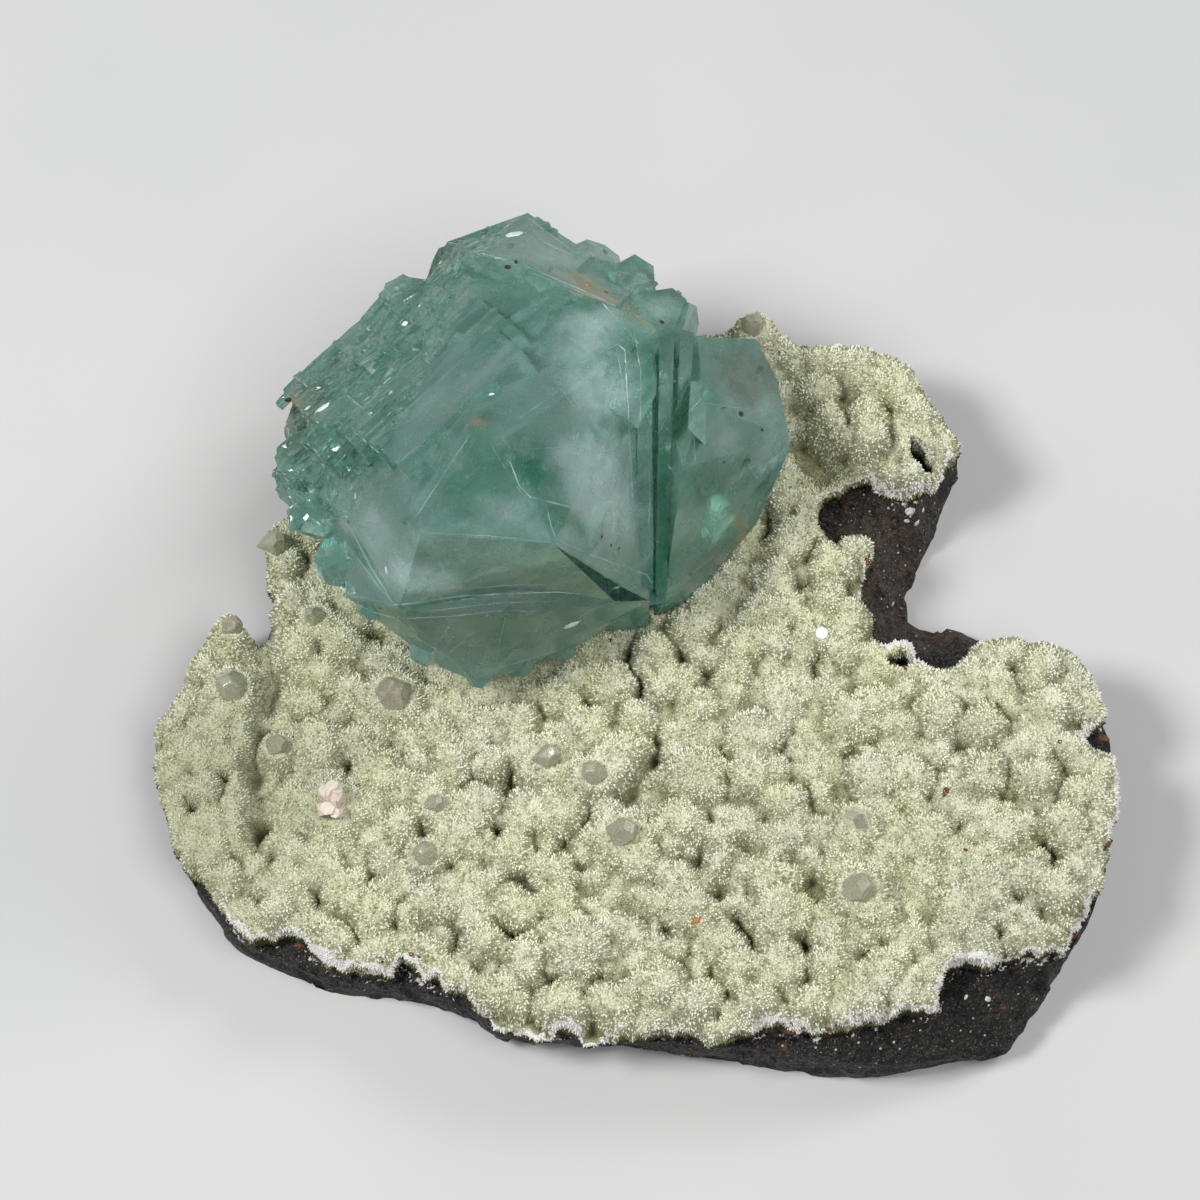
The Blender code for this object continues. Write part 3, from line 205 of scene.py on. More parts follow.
class PhotoView:
    """The photograph's camera: it looks down on the specimen along +Y."""

    AIM = Vector((-3.97, 5.64, 20.0)) * MM
    ELEVATION = math.radians(68.0)
    DISTANCE = 0.6
    FRAME_PIXELS = 1200
    PIXEL_AT_AIM = 0.124 * MM
    SENSOR = 36.0

    @classmethod
    def back(cls) -> Vector:
        """Unit vector from the aim to the camera."""
        return Vector((0.0, -math.cos(cls.ELEVATION), math.sin(cls.ELEVATION)))

    @classmethod
    def place(cls) -> Vector:
        """Where the camera stands, in metres."""
        return cls.AIM + cls.back() * cls.DISTANCE

    @classmethod
    def axes(cls) -> tuple[Vector, Vector]:
        """The directions of the photograph's right and up."""
        right = Vector((1.0, 0.0, 0.0))
        return right, cls.back().cross(right).normalized()

    @classmethod
    def pixels(cls, points: np.ndarray) -> np.ndarray:
        """Where places show in the photograph.

        Args:
            points: one row for each place, in millimetres.

        Returns:
            One row for each, of pixels to the right and down from the upper left corner.
        """
        right, up = cls.axes()
        away = points * MM - np.array(cls.place())
        share = -cls.DISTANCE / ((away @ np.array(cls.back())) * cls.PIXEL_AT_AIM)
        half = cls.FRAME_PIXELS / 2.0
        return np.stack([half + away @ np.array(right) * share, half - away @ np.array(up) * share], axis=1)

    @classmethod
    def ray(cls, u: float, v: float) -> Vector:
        """Direction from the camera through a pixel.

        Args:
            u: pixels to the right of the frame's left edge.
            v: pixels down from the frame's upper edge.

        Returns:
            A unit vector.
        """
        right, up = cls.axes()
        half = cls.FRAME_PIXELS / 2.0
        offset = (right * (u - half) - up * (v - half)) * cls.PIXEL_AT_AIM
        return (offset - cls.back() * cls.DISTANCE).normalized()


def closed_curve(controls: Sequence[Sequence[float]], step: float) -> np.ndarray:
    """Points about a step apart on a smooth closed curve.

    Args:
        controls: the plan points that the curve goes through.
        step: spacing of the points.

    Returns:
        One row of x and y for each point.
    """
    nodes = [np.array(c, dtype=float) for c in controls]
    count = len(nodes)
    points = []
    for i, start in enumerate(nodes):
        before = nodes[i - 1]
        end = nodes[(i + 1) % count]
        after = nodes[(i + 2) % count]
        pieces = max(1, round(float(np.linalg.norm(end - start)) / step))
        for k in range(pieces):
            t = k / pieces
            bend = (2.0 * start + (end - before) * t
                    + (2.0 * before - 5.0 * start + 4.0 * end - after) * t * t
                    + (3.0 * start - before - 3.0 * end + after) * t ** 3)
            points.append(0.5 * bend)
    return np.array(points)


def inside(points: np.ndarray, ring: np.ndarray) -> np.ndarray:
    """Which of the points lie inside the ring, by counting crossings.

    Args:
        points: one row of x and y for each place.
        ring: points of a closed line.

    Returns:
        True for each place inside.
    """
    hit = np.zeros(len(points), dtype=bool)
    px, py = points[:, 0], points[:, 1]
    for (x0, y0), (x1, y1) in zip(ring, np.roll(ring, -1, axis=0)):
        if y0 == y1:
            continue
        hit ^= ((y0 > py) != (y1 > py)) & (px < (x1 - x0) * (py - y0) / (y1 - y0) + x0)
    return hit


def segment_distance(points: np.ndarray, start: np.ndarray, end: np.ndarray) -> np.ndarray:
    """Distance of each point from one straight segment.

    Args:
        points: one row of x and y for each place.
        start: one end of the segment.
        end: its other end.

    Returns:
        One distance for each place.
    """
    start, end = np.asarray(start), np.asarray(end)
    run = end - start
    t = np.clip(((points - start) @ run) / max(float(run @ run), 1e-9), 0.0, 1.0)
    return np.linalg.norm(points - (start + t[:, None] * run), axis=1)


def ring_distance(points: np.ndarray, ring: np.ndarray) -> np.ndarray:
    """Distance of each point from the nearest side of a ring.

    Args:
        points: one row of x and y for each place.
        ring: points of a closed line.

    Returns:
        One distance for each place.
    """
    nearest = np.full(len(points), 1e9)
    for start, end in zip(ring, np.roll(ring, -1, axis=0)):
        nearest = np.minimum(nearest, segment_distance(points, start, end))
    return nearest


def inward(ring: np.ndarray, distances: np.ndarray) -> np.ndarray:
    """The ring with each point moved towards the inside by its own distance.

    Args:
        ring: points of a closed line.
        distances: how far each moves.

    Returns:
        The moved ring.
    """
    run = np.roll(ring, -1, axis=0) - np.roll(ring, 1, axis=0)
    run /= np.linalg.norm(run, axis=1)[:, None]
    side = np.stack([-run[:, 1], run[:, 0]], axis=1)
    area = np.sum(ring[:, 0] * np.roll(ring[:, 1], -1) - ring[:, 1] * np.roll(ring[:, 0], -1))
    return ring + side * math.copysign(1.0, area) * np.asarray(distances)[:, None]


def without_loops(ring: np.ndarray, reach: int = 12) -> np.ndarray:
    """The ring with the small loops cut off where it crosses itself.

    Args:
        ring: points of a closed line.
        reach: how many sides further on a crossing is looked for.

    Returns:
        The points that are left, with each crossing as a point.
    """
    kept = [tuple(p) for p in ring]
    at = 0
    while at < len(kept):
        count = len(kept)
        start, end = np.array(kept[at]), np.array(kept[(at + 1) % count])
        run = end - start
        for step in range(reach, 1, -1):
            other, far = np.array(kept[(at + step) % count]), np.array(kept[(at + step + 1) % count])
            side = far - other
            cross = run[0] * side[1] - run[1] * side[0]
            if abs(cross) < 1e-12:
                continue
            gap = other - start
            s = (gap[0] * side[1] - gap[1] * side[0]) / cross
            t = (gap[0] * run[1] - gap[1] * run[0]) / cross
            if 0.0 <= s <= 1.0 and 0.0 <= t <= 1.0:
                cut = {(at + k) % count for k in range(1, step + 1)}
                crossing = tuple(start + run * s)
                kept = [p for i, p in enumerate(kept) if i not in cut]
                at = min(at, len(kept) - 1)
                kept.insert(at + 1, crossing)
                break
        at += 1
    return np.array(kept)


def soft_max(one: np.ndarray, other: np.ndarray, melt: float) -> np.ndarray:
    """The larger of two heights, with the crease between them rounded over a height."""
    near = np.clip(1.0 - np.abs(one - other) / melt, 0.0, None)
    return np.maximum(one, other) + near * near * melt * 0.25


def dome(share: np.ndarray) -> np.ndarray:
    """Height of a round lump of radius 1, with a straight shoulder that goes on past its rim.

    Args:
        share: distance from the middle, in radii.

    Returns:
        The height there, in radii.
    """
    top = np.sqrt(1.0 - np.clip(share, 0.0, LUMP_SHOULDER) ** 2)
    slope = LUMP_SHOULDER / math.sqrt(1.0 - LUMP_SHOULDER ** 2)
    return top - slope * np.clip(share - LUMP_SHOULDER, 0.0, None)


def lattice(low: np.ndarray, high: np.ndarray, step: float, jitter: float, seed: int) -> np.ndarray:
    """Seeded, evenly spaced plan points over a box.

    Args:
        low: lower corner of the box.
        high: upper corner of the box.
        step: spacing of the points.
        jitter: how far each point strays, as a share of the step.
        seed: seed of the straying.

    Returns:
        One row of x and y for each point.
    """
    rng = random.Random(seed)
    row = step * math.sqrt(3.0) / 2.0
    points = []
    y, odd = low[1], 0
    while y < high[1]:
        x = low[0] + (step / 2.0 if odd else 0.0)
        while x < high[0]:
            points.append((x + rng.uniform(-jitter, jitter) * step, y + rng.uniform(-jitter, jitter) * step))
            x += step
        y += row
        odd = 1 - odd
    return np.array(points)


def value_noise(points: np.ndarray, size: float, seed: int) -> np.ndarray:
    """Smooth noise between -1 and 1 over the plan or in space.

    Args:
        points: one row for each place.
        size: spacing of the noise's cells, in the points' unit.
        seed: seed of its values.

    Returns:
        One value for each point.
    """
    scaled = points / size
    cell = np.floor(scaled).astype(np.int64)
    share = scaled - cell
    share = share * share * (3.0 - 2.0 * share)
    total = np.zeros(len(points))
    axes = points.shape[1]
    factors = (73856093, 19349663, 83492791)
    for corner in range(2 ** axes):
        weight = np.ones(len(points))
        key = np.full(len(points), seed * 2654435761 % 2 ** 32, dtype=np.int64)
        for axis in range(axes):
            bit = (corner >> axis) & 1
            key ^= (cell[:, axis] + bit) * factors[axis]
            weight *= share[:, axis] if bit else 1.0 - share[:, axis]
        key = (key ^ (key >> 13)) * 1274126177 & 0xFFFFFFFF
        key = (key ^ (key >> 16)) & 0xFFFF
        total += weight * (key / 32767.5 - 1.0)
    return total


def noise_sum(points: np.ndarray, layers: NoiseLayers) -> np.ndarray:
    """Sum of layers of noise, each given as its height, its size and its seed."""
    return sum(rise * value_noise(points, size, seed) for rise, size, seed in layers)


def scattered(values: np.ndarray, spread: float) -> np.ndarray:
    """A number between 0 and 1 for each value, with no order in them."""
    wide = np.sin(values) * spread
    return wide - np.floor(wide)


def rows_of(vectors: Iterable[Vector]) -> np.ndarray:
    """An array with one row for each vector."""
    return np.array([vector.to_tuple() for vector in vectors])


def new_piece(name: str, mesh: Mesh, material: Material) -> Object:
    """Put a finished mesh in the scene as a piece that rides with the specimen.

    Args:
        name: the piece's name.
        mesh: its mesh, already in place.
        material: what it is made of.

    Returns:
        The new object.
    """
    piece = bpy.data.objects.new(name, mesh)
    bpy.context.scene.collection.objects.link(piece)
    mesh.materials.clear()
    mesh.materials.append(material)
    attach(piece, BODY)
    LOG.info("%s: %d faces", name, len(mesh.polygons))
    return piece


def mesh_from(name: str, points: np.ndarray, faces: Iterable[Sequence[int]]) -> Mesh:
    """A mesh through points given in millimetres.

    Args:
        name: the mesh's name.
        points: one row for each vertex.
        faces: the numbers of each face's vertices.

    Returns:
        The mesh, in metres.
    """
    mesh = bpy.data.meshes.new(name)
    mesh.from_pydata((np.asarray(points) * MM).tolist(), [], [tuple(f) for f in faces])
    mesh.update()
    return mesh


def store(mesh: Mesh, name: str, values: np.ndarray) -> None:
    """Keep one number for each vertex of a mesh under a name that materials can read."""
    layer = mesh.attributes.new(name, "FLOAT", "POINT")
    layer.data.foreach_set("value", np.asarray(values, dtype=np.float32))


def tree_of(mesh: Mesh) -> BVHTree:
    """Search tree of a mesh's faces, in metres.

    Args:
        mesh: the mesh to search.

    Returns:
        Its tree.
    """
    bm = bmesh.new()
    bm.from_mesh(mesh)
    tree = BVHTree.FromBMesh(bm)
    bm.free()
    return tree


def merged_copy(node: str) -> Mesh:
    """A copy of a CAD node's mesh with its loose triangles joined.

    Args:
        node: name of the CAD node.

    Returns:
        The new mesh.
    """
    bm = bmesh.new()
    bm.from_mesh(frame["nodes"][node].data)
    bmesh.ops.remove_doubles(bm, verts=bm.verts, dist=0.0005 * MM)
    mesh = bpy.data.meshes.new(node + "_copy")
    bm.to_mesh(mesh)
    bm.free()
    return mesh


class Wiring:
    """Adds and links the nodes of one tree."""

    def __init__(self, tree: NodeTree) -> None:
        """Keep the tree that the nodes go into."""
        self.tree = tree

    def add(self, kind: str, inputs: dict | None = None, **settings: object) -> Node:
        """Add one node.

        Args:
            kind: Blender's name of the node type.
            inputs: what each input socket, by name or number, is linked or set to.
            settings: the node's own settings.

        Returns:
            The new node.
        """
        node = self.tree.nodes.new(kind)
        for setting, value in settings.items():
            setattr(node, setting, value)
        for socket, value in (inputs or {}).items():
            if isinstance(value, NodeSocket):
                self.tree.links.new(value, node.inputs[socket])
            else:
                node.inputs[socket].default_value = value
        return node

    def math(self, operation: str, *values: object, clamp: bool = False) -> NodeSocket:
        """Output of a Math node on numbers or sockets."""
        node = self.add("ShaderNodeMath", dict(enumerate(values)), operation=operation, use_clamp=clamp)
        return node.outputs[0]

    def compare(self, value: NodeSocket, other: object, operation: str) -> NodeSocket:
        """Whether one number stands to another as asked."""
        return self.add("FunctionNodeCompare", {0: value, 1: other}, operation=operation).outputs[0]


class Recipe(Wiring):
    """The nodes of one surface material, with its patterns on Object coordinates."""

    def __init__(self, name: str) -> None:
        """Start a material with its shader and its coordinates.

        Args:
            name: the material's name.
        """
        self.material = bpy.data.materials.new(name)
        self.material.use_nodes = True
        super().__init__(self.material.node_tree)
        self.shader = self.tree.nodes["Principled BSDF"]
        self.output = self.tree.nodes["Material Output"]
        self.place = self.add("ShaderNodeTexCoord").outputs["Object"]

    def turned(self, turn: Sequence[float], stretch: Sequence[float] = (1.0, 1.0, 1.0)) -> NodeSocket:
        """The coordinates turned by degrees and stretched, for a pattern with a grain.

        Args:
            turn: degrees about each axis.
            stretch: factor along each axis.

        Returns:
            The new coordinates.
        """
        radians = [math.radians(t) for t in turn]
        turned = self.add("ShaderNodeMapping", {"Vector": self.place, "Rotation": radians}).outputs[0]
        return self.add("ShaderNodeMapping", {"Vector": turned, "Scale": stretch}).outputs[0]

    def noise(self, size: float, detail: float = 2.0, rough: float = 0.5, warp: float = 0.0,
              place: NodeSocket | None = None) -> NodeSocket:
        """Noise between 0 and 1.

        Args:
            size: width of its blots in millimetres.
            detail: octaves of finer noise.
            rough: how strong the finer noise is.
            warp: how far the pattern is bent.
            place: coordinates to use in place of the plain ones.

        Returns:
            The noise's value.
        """
        sockets = {"Vector": place or self.place, "Scale": 1.0 / (size * MM), "Detail": detail,
                   "Roughness": rough, "Distortion": warp}
        return self.add("ShaderNodeTexNoise", sockets).outputs["Fac"]

    def cells(self, size: float) -> NodeSocket:
        """Distance from the nearest of scattered points, about a size in millimetres apart."""
        sockets = {"Vector": self.place, "Scale": 1.0 / (size * MM)}
        return self.add("ShaderNodeTexVoronoi", sockets).outputs["Distance"]

    def band(self, value: NodeSocket, low: float, high: float,
             start: float = 0.0, end: float = 1.0) -> NodeSocket:
        """The value's stretch from low to high, spread over start to end."""
        sockets = {"Value": value, "From Min": low, "From Max": high, "To Min": start, "To Max": end}
        return self.add("ShaderNodeMapRange", sockets).outputs[0]

    def near(self, point: Sequence[float], inner: float, outer: float) -> NodeSocket:
        """1 within inner millimetres of a place, falling to 0 at outer.

        Args:
            point: the place.
            inner: where it stops being 1.
            outer: where it is 0.

        Returns:
            The share.
        """
        sockets = {0: self.place, 1: [c * MM for c in point]}
        away = self.add("ShaderNodeVectorMath", sockets, operation="DISTANCE").outputs["Value"]
        return self.band(away, inner * MM, outer * MM, 1.0, 0.0)

    def attribute(self, name: str) -> NodeSocket:
        """A number kept on the mesh's vertices."""
        return self.add("ShaderNodeAttribute", attribute_name=name).outputs["Fac"]

    def blend(self, share: object, low: object, high: object) -> NodeSocket:
        """Colour between two colours or colour sockets.

        Args:
            share: 0 for the first colour, 1 for the second.
            low: the first colour.
            high: the second colour.

        Returns:
            The blended colour.
        """
        node = self.add("ShaderNodeMix", data_type="RGBA")
        for index, value in ((0, share), (6, low), (7, high)):
            if isinstance(value, NodeSocket):
                self.tree.links.new(value, node.inputs[index])
            else:
                node.inputs[index].default_value = value if index == 0 else (*value, 1.0)
        return node.outputs[2]

    def bump(self, height: NodeSocket, rise: float, strength: float = 1.0,
             below: NodeSocket | None = None) -> NodeSocket:
        """Normal of a pattern of heights, rise millimetres deep, over another if given.

        Args:
            height: the pattern.
            rise: its depth.
            strength: how strongly it shows.
            below: a normal that it lies over.

        Returns:
            The new normal.
        """
        sockets = {"Height": height, "Strength": strength, "Distance": rise * MM}
        if below is not None:
            sockets["Normal"] = below
        return self.add("ShaderNodeBump", sockets).outputs[0]

    def finish(self, **sockets: object) -> Material:
        """Set or link the shader's sockets, by name with underscores for spaces.

        Args:
            sockets: each socket's value or source.

        Returns:
            The material.
        """
        for name, value in sockets.items():
            socket = self.shader.inputs[name.replace("_", " ")]
            if isinstance(value, NodeSocket):
                self.tree.links.new(value, socket)
            elif isinstance(value, tuple) and len(value) == 3:
                socket.default_value = (*value, 1.0)
            else:
                socket.default_value = value
        return self.material

    def absorb(self, colour: Colour, density: float) -> None:
        """Let light fade inside the solid, by density per metre."""
        volume = self.add("ShaderNodeVolumeAbsorption", {"Color": (*colour, 1.0), "Density": density})
        self.tree.links.new(volume.outputs[0], self.output.inputs["Volume"])


@dataclass(frozen=True)
class DruseFinish:
    """Minute pale crystals over an olive ground that shows between them."""

    name: str
    lit: Colour = (0.86, 0.86, 0.70)
    warm: Colour = (0.81, 0.81, 0.60)
    cool: Colour = (0.74, 0.77, 0.65)
    # Dark olive of the dull grains and of the ground's pits, and painted shade in the crust's hollows; the
    # next colour is painted shade deep in its crevices.
    speck_and_shade: Colour = (0.17, 0.17, 0.07)
    crevice_shade: Colour = (0.045, 0.045, 0.02)
    chalk: Colour = (0.74, 0.73, 0.70)
    # Painted shade: an olive shade colour over the left lobe, and the place it is centred on.
    left_shade: Colour = (0.46, 0.47, 0.33)
    left_shade_place: tuple[float, float, float] = (-52.0, -16.0, 12.0)
    ground: float = 0.0
    speckle: float = 0.5

    def material(self) -> Material:
        """Build the material.

        Returns:
            The material.
        """
        recipe = Recipe(self.name)
        patch = recipe.band(recipe.noise(7.0, 1.0), 0.35, 0.65)
        grey = recipe.band(recipe.noise(11.0, 1.0, place=recipe.turned((10.0, 20.0, 40.0))), 0.42, 0.66)
        colour = recipe.blend(patch, self.lit, self.warm)
        colour = recipe.blend(recipe.math("MULTIPLY", grey, 0.5), colour, self.cool)
        sparse = recipe.band(recipe.noise(1.6, 2.0, 0.6), 0.46, 0.64)
        tone = recipe.attribute("tone")
        # Grains turn dark at random, and more of them on steep flanks.
        steep = recipe.band(recipe.attribute("slope"), 0.12, 0.6, 0.0, 0.5)
        hidden = recipe.math("ADD", tone, recipe.math("MULTIPLY", sparse, 0.22))
        dull = recipe.band(recipe.math("ADD", hidden, steep), 0.96, 1.04)
        colour = recipe.blend(recipe.math("MULTIPLY", dull, self.speckle, clamp=True), colour, self.speck_and_shade)
        # Painted shade: the left lobe turns olive, fading out from its middle.
        left_shade = recipe.near(self.left_shade_place, 4.0, 24.0)
        colour = recipe.blend(recipe.math("MULTIPLY", left_shade, 0.55), colour, self.left_shade)
        relief = {}
        if self.ground:
            pits = recipe.band(recipe.noise(0.34, 2.0, 0.6), 0.50, 0.60, 0.25 * self.ground, self.ground)
            colour = recipe.blend(pits, colour, self.speck_and_shade)
            relief["Normal"] = recipe.bump(recipe.noise(0.25, 2.0, 0.7), 0.08, 0.8)
        # Painted shade: the further a place lies below the crust round it, the darker and more olive it
        # turns, down to near black in the crevices.
        cavity = recipe.attribute("cavity")
        colour = recipe.blend(recipe.band(cavity, 0.1, 1.1, 0.0, 0.75), colour, self.speck_and_shade)
        colour = recipe.blend(recipe.band(cavity, 1.1, 2.1, 0.0, 0.9), colour, self.crevice_shade)
        chips = recipe.band(recipe.noise(0.7, 1.0, 0.7), 0.3, 0.7, -0.35, 0.35)
        chalky = recipe.band(recipe.math("ADD", recipe.attribute("chalk"), chips), 0.40, 0.55)
        colour = recipe.blend(chalky, colour, self.chalk)
        return recipe.finish(Base_Color=colour, Roughness=0.9, Specular_IOR_Level=0.12, **relief)


class CrustPlan:
    """Plan and main heights of the druse crust, in millimetres."""

    OUTLINE_STEP = 2.3
    EDGE_STEP = 0.5
    EDGE_RETREAT = 0.72
    RAGGED = ((0.42, 1.9, 5), (0.34, 0.8, 6))
    HOLE_POINTS = 40

    def __init__(self) -> None:
        """Draw the outline and place the main botryoids."""
        self.outline = closed_curve(CRUST_OUTLINE, self.OUTLINE_STEP)
        self.lumps = self.place_lumps()
        fine = closed_curve(CRUST_OUTLINE, self.EDGE_STEP)
        self.edge = without_loops(inward(fine, self.EDGE_RETREAT + noise_sum(fine, self.RAGGED)))
        self.holes = [self.hole(*spot) for spot in BARE_SPOTS]

    @staticmethod
    def level(x: np.ndarray) -> np.ndarray:
        """Mean height of the crust's upper side at x."""
        return LEVEL_AT_MIDDLE + LEVEL_RISE * x

    def hole(self, x: float, y: float, half_a: float, half_b: float, turn: float) -> np.ndarray:
        """Ragged ring round a bare spot.

        Args:
            x: its middle.
            y: its middle.
            half_a: its half length.
            half_b: its half width.
            turn: its turn in degrees.

        Returns:
            The ring's points.
        """
        angle = np.linspace(0.0, 2.0 * math.pi, self.HOLE_POINTS, endpoint=False)
        c, s = math.cos(math.radians(turn)), math.sin(math.radians(turn))
        wobble = 1.0 + 0.10 * np.sin(2.0 * angle + 2.0) + 0.07 * np.sin(5.0 * angle + x)
        a, b = half_a * wobble * np.cos(angle), half_b * wobble * np.sin(angle)
        return np.stack([x + a * c - b * s, y + a * s + b * c], axis=1)

    def place_lumps(self) -> np.ndarray:
        """The main botryoids, and the seeded smaller ones between them.

        Returns:
            Rows of x, y, radius and rise.
        """
        rows = [(x, y, r, 0.0) for x, y, r in MAIN_LUMPS] + list(PROUD_LUMPS)
        centres = np.array([row[:2] for row in rows])
        radii = np.array([row[2] for row in rows])
        rng = random.Random(FILL_SEED)
        fill = lattice(self.outline.min(axis=0), self.outline.max(axis=0), FILL_LUMP_GAP, 0.18, FILL_SEED)
        fill = fill[inside(fill, self.outline)]
        fill = fill[ring_distance(fill, self.outline) > EDGE_CLEAR]
        for x, y in fill:
            if np.min(np.linalg.norm(centres - (x, y), axis=1) - radii) > FILL_LUMP_CLEAR:
                rows.append((x, y, rng.uniform(*FILL_LUMP), rng.uniform(*FILL_LUMP_RISE)))
        return np.array(rows)

    def domes(self, points: np.ndarray) -> np.ndarray:
        """Height of the main botryoids over each point of the plan.

        Args:
            points: one row of x and y for each place.

        Returns:
            One height for each place.
        """
        base = self.level(points[:, 0])
        height = base - CRUST_VALLEY
        reach = LUMP_SHOULDER + (1.0 + CRUST_VALLEY) / 2.5
        for x, y, radius, rise in self.lumps:
            away = (points[:, 0] - x) ** 2 + (points[:, 1] - y) ** 2
            near = np.nonzero(away < (reach * radius) ** 2)[0]
            fall = LUMP_STEEP * (1.0 - dome(np.sqrt(away[near]) / radius))
            lump = base[near] + rise + radius * (1.0 - LUMP_SINK - fall)
            height[near] = soft_max(height[near], lump, LUMP_MELT)
        return height

    def lowered(self, points: np.ndarray, height: np.ndarray) -> np.ndarray:
        """The heights less the furrows and the roll of the edge.

        Args:
            points: one row of x and y for each place.
            height: their heights.

        Returns:
            The lowered heights.
        """
        for start, end, depth, width in FURROWS:
            away = segment_distance(points, start, end) / width
            height = height - depth * np.exp(-away ** 2)
        roll = np.clip(1.0 - ring_distance(points, self.outline) / EDGE_ROLL_WIDTH, 0.0, 1.0)
        return height - EDGE_ROLL * roll ** 2


def chalk_share(points: np.ndarray) -> np.ndarray:
    """How white and chalky the broken rim is at each place of the plan, between 0 and 1.

    Args:
        points: one row of x and y for each place.

    Returns:
        One share for each place.
    """
    share = np.full(len(points), 0.12)
    for x, y, radius, strength in CHALK_STRETCHES:
        away = np.hypot(points[:, 0] - x, points[:, 1] - y)
        share = np.maximum(share, strength * np.clip(1.6 - away / radius, 0.0, 1.0))
    return share


@dataclass
class DruseCrust:
    """The botryoidal crust: one closed skin, and the fine crystals that cover it."""

    plan: CrustPlan
    spacing: float = 0.44
    bud_gap: float = 2.2
    bud_radius: tuple[float, float] = (0.9, 2.3)
    bud_sink: float = 0.8
    raster: float = 0.4
    blur: float = 1.1
    ball_gap: float = 0.25
    relief: NoiseLayers = ((0.26, 1.7, 30), (0.16, 0.85, 31), (0.09, 0.5, 32))
    wall_relief: NoiseLayers = ((0.2, 0.8, 61), (0.15, 0.4, 62))
    seat_reach: float = 2.1
    seat_rise: float = 0.12
    grain_bands: int = 8
    grain_density: float = 13.5
    grain_gap: float = 0.26
    grain_size: float = 0.19
    grain_tilt: float = 0.32
    grain_sizes: tuple[float, float] = (0.65, 1.3)
    lowest_facing: float = -0.2

    BELT = 7

    def __post_init__(self) -> None:
        """Place the small buds of the botryoids and find what stands on the crust."""
        self.ball = tree_of(frame["nodes"]["apophyllite_cluster"].data)
        self.seats = []
        for node in frame["nodes"]:
            if node.startswith(("glassy_crystal", "stilbite_bud", "white_flake")):
                low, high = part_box(node)
                middle = (low + high) / 2.0 / MM
                half = max(high.x - low.x, high.y - low.y) / 2.0 / MM
                self.seats.append((middle.x - PLAN_SHIFT[0], middle.y - PLAN_SHIFT[1], half, low.z / MM))
        low, high = self.plan.edge.min(axis=0), self.plan.edge.max(axis=0)
        buds = lattice(low, high, self.bud_gap, 0.34, 21)
        buds = buds[inside(buds, self.plan.edge)]
        rng = np.random.default_rng(22)
        radius = rng.uniform(*self.bud_radius, len(buds))
        self.buds = np.column_stack([buds, radius, self.plan.domes(buds)])

    def with_buds(self, points: np.ndarray, height: np.ndarray) -> np.ndarray:
        """Raise small round buds on the botryoids.

        Args:
            points: one row of x and y for each place.
            height: their heights.

        Returns:
            The raised heights.
        """
        order = np.argsort(points[:, 0])
        sorted_x = points[order, 0]
        for x, y, radius, foot in self.buds:
            first, last = np.searchsorted(sorted_x, (x - 1.2 * radius, x + 1.2 * radius))
            window = order[first:last]
            away = (points[window, 0] - x) ** 2 + (points[window, 1] - y) ** 2
            near = away < (1.2 * radius) ** 2
            window, away = window[near], away[near]
            bud = foot + radius * (dome(np.sqrt(away) / radius) - self.bud_sink)
            height[window] = soft_max(height[window], bud, BUD_MELT)
        return height

    def heights(self, points: np.ndarray) -> np.ndarray:
        """Height of the finished crust over each point of the plan.

        Args:
            points: one row of x and y for each place.

        Returns:
            One height for each place.
        """
        height = self.with_buds(points, self.plan.domes(points))
        height = self.plan.lowered(points, height)
        height += noise_sum(points, self.relief)
        for x, y, half, foot in self.seats:
            away = np.hypot(points[:, 0] - x, points[:, 1] - y)
            share = np.clip(self.seat_reach - away / half, 0.0, 1.0)
            share = share * share * (3.0 - 2.0 * share)
            height = height * (1.0 - share) + (foot + self.seat_rise) * share
        low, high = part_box("apophyllite_cluster")
        placed = points + PLAN_SHIFT
        below = ((placed[:, 0] > low.x / MM) & (placed[:, 0] < high.x / MM)
                 & (placed[:, 1] > low.y / MM) & (placed[:, 1] < high.y / MM))
        up = Vector((0.0, 0.0, 1.0))
        for index in np.nonzero(below)[0]:
            hit = self.ball.ray_cast(Vector((*(placed[index] * MM), -1.0)), up)[0]
            if hit is not None:
                height[index] = min(height[index], hit.z / MM - self.ball_gap)
        return np.maximum(height, self.plan.level(points[:, 0]) - CRUST_DEPTH + CRUST_LEAST)

    def cavities(self, points: np.ndarray, height: np.ndarray) -> np.ndarray:
        """How far each point lies below the crust round it, in millimetres.

        Args:
            points: one row of x and y for each place.
            height: their heights.

        Returns:
            One depth for each place.
        """
        low = self.plan.edge.min(axis=0) - 2.0
        high = self.plan.edge.max(axis=0) + 2.0
        xs = np.arange(low[0], high[0], self.raster)
        ys = np.arange(low[1], high[1], self.raster)
        grid = np.stack(np.meshgrid(xs, ys, indexing="ij"), axis=-1).reshape(-1, 2)
        field = self.with_buds(grid, self.plan.domes(grid))
        field = self.plan.lowered(grid, field).reshape(len(xs), len(ys))
        reach = int(3.0 * self.blur / self.raster)
        kernel = np.exp(-0.5 * (np.arange(-reach, reach + 1) * self.raster / self.blur) ** 2)
        kernel /= kernel.sum()
        padded = np.pad(field, reach, mode="edge")
        soft = np.apply_along_axis(lambda row: np.convolve(row, kernel, "valid"), 0, padded)
        soft = np.apply_along_axis(lambda row: np.convolve(row, kernel, "valid"), 1, soft)
        place = (points - low) / self.raster
        cell = np.clip(place.astype(int), 0, np.array([len(xs), len(ys)]) - 2)
        share = np.clip(place - cell, 0.0, 1.0)
        i, j = cell[:, 0], cell[:, 1]
        left = soft[i, j] * (1.0 - share[:, 1]) + soft[i, j + 1] * share[:, 1]
        right = soft[i + 1, j] * (1.0 - share[:, 1]) + soft[i + 1, j + 1] * share[:, 1]
        return left * (1.0 - share[:, 0]) + right * share[:, 0] - height

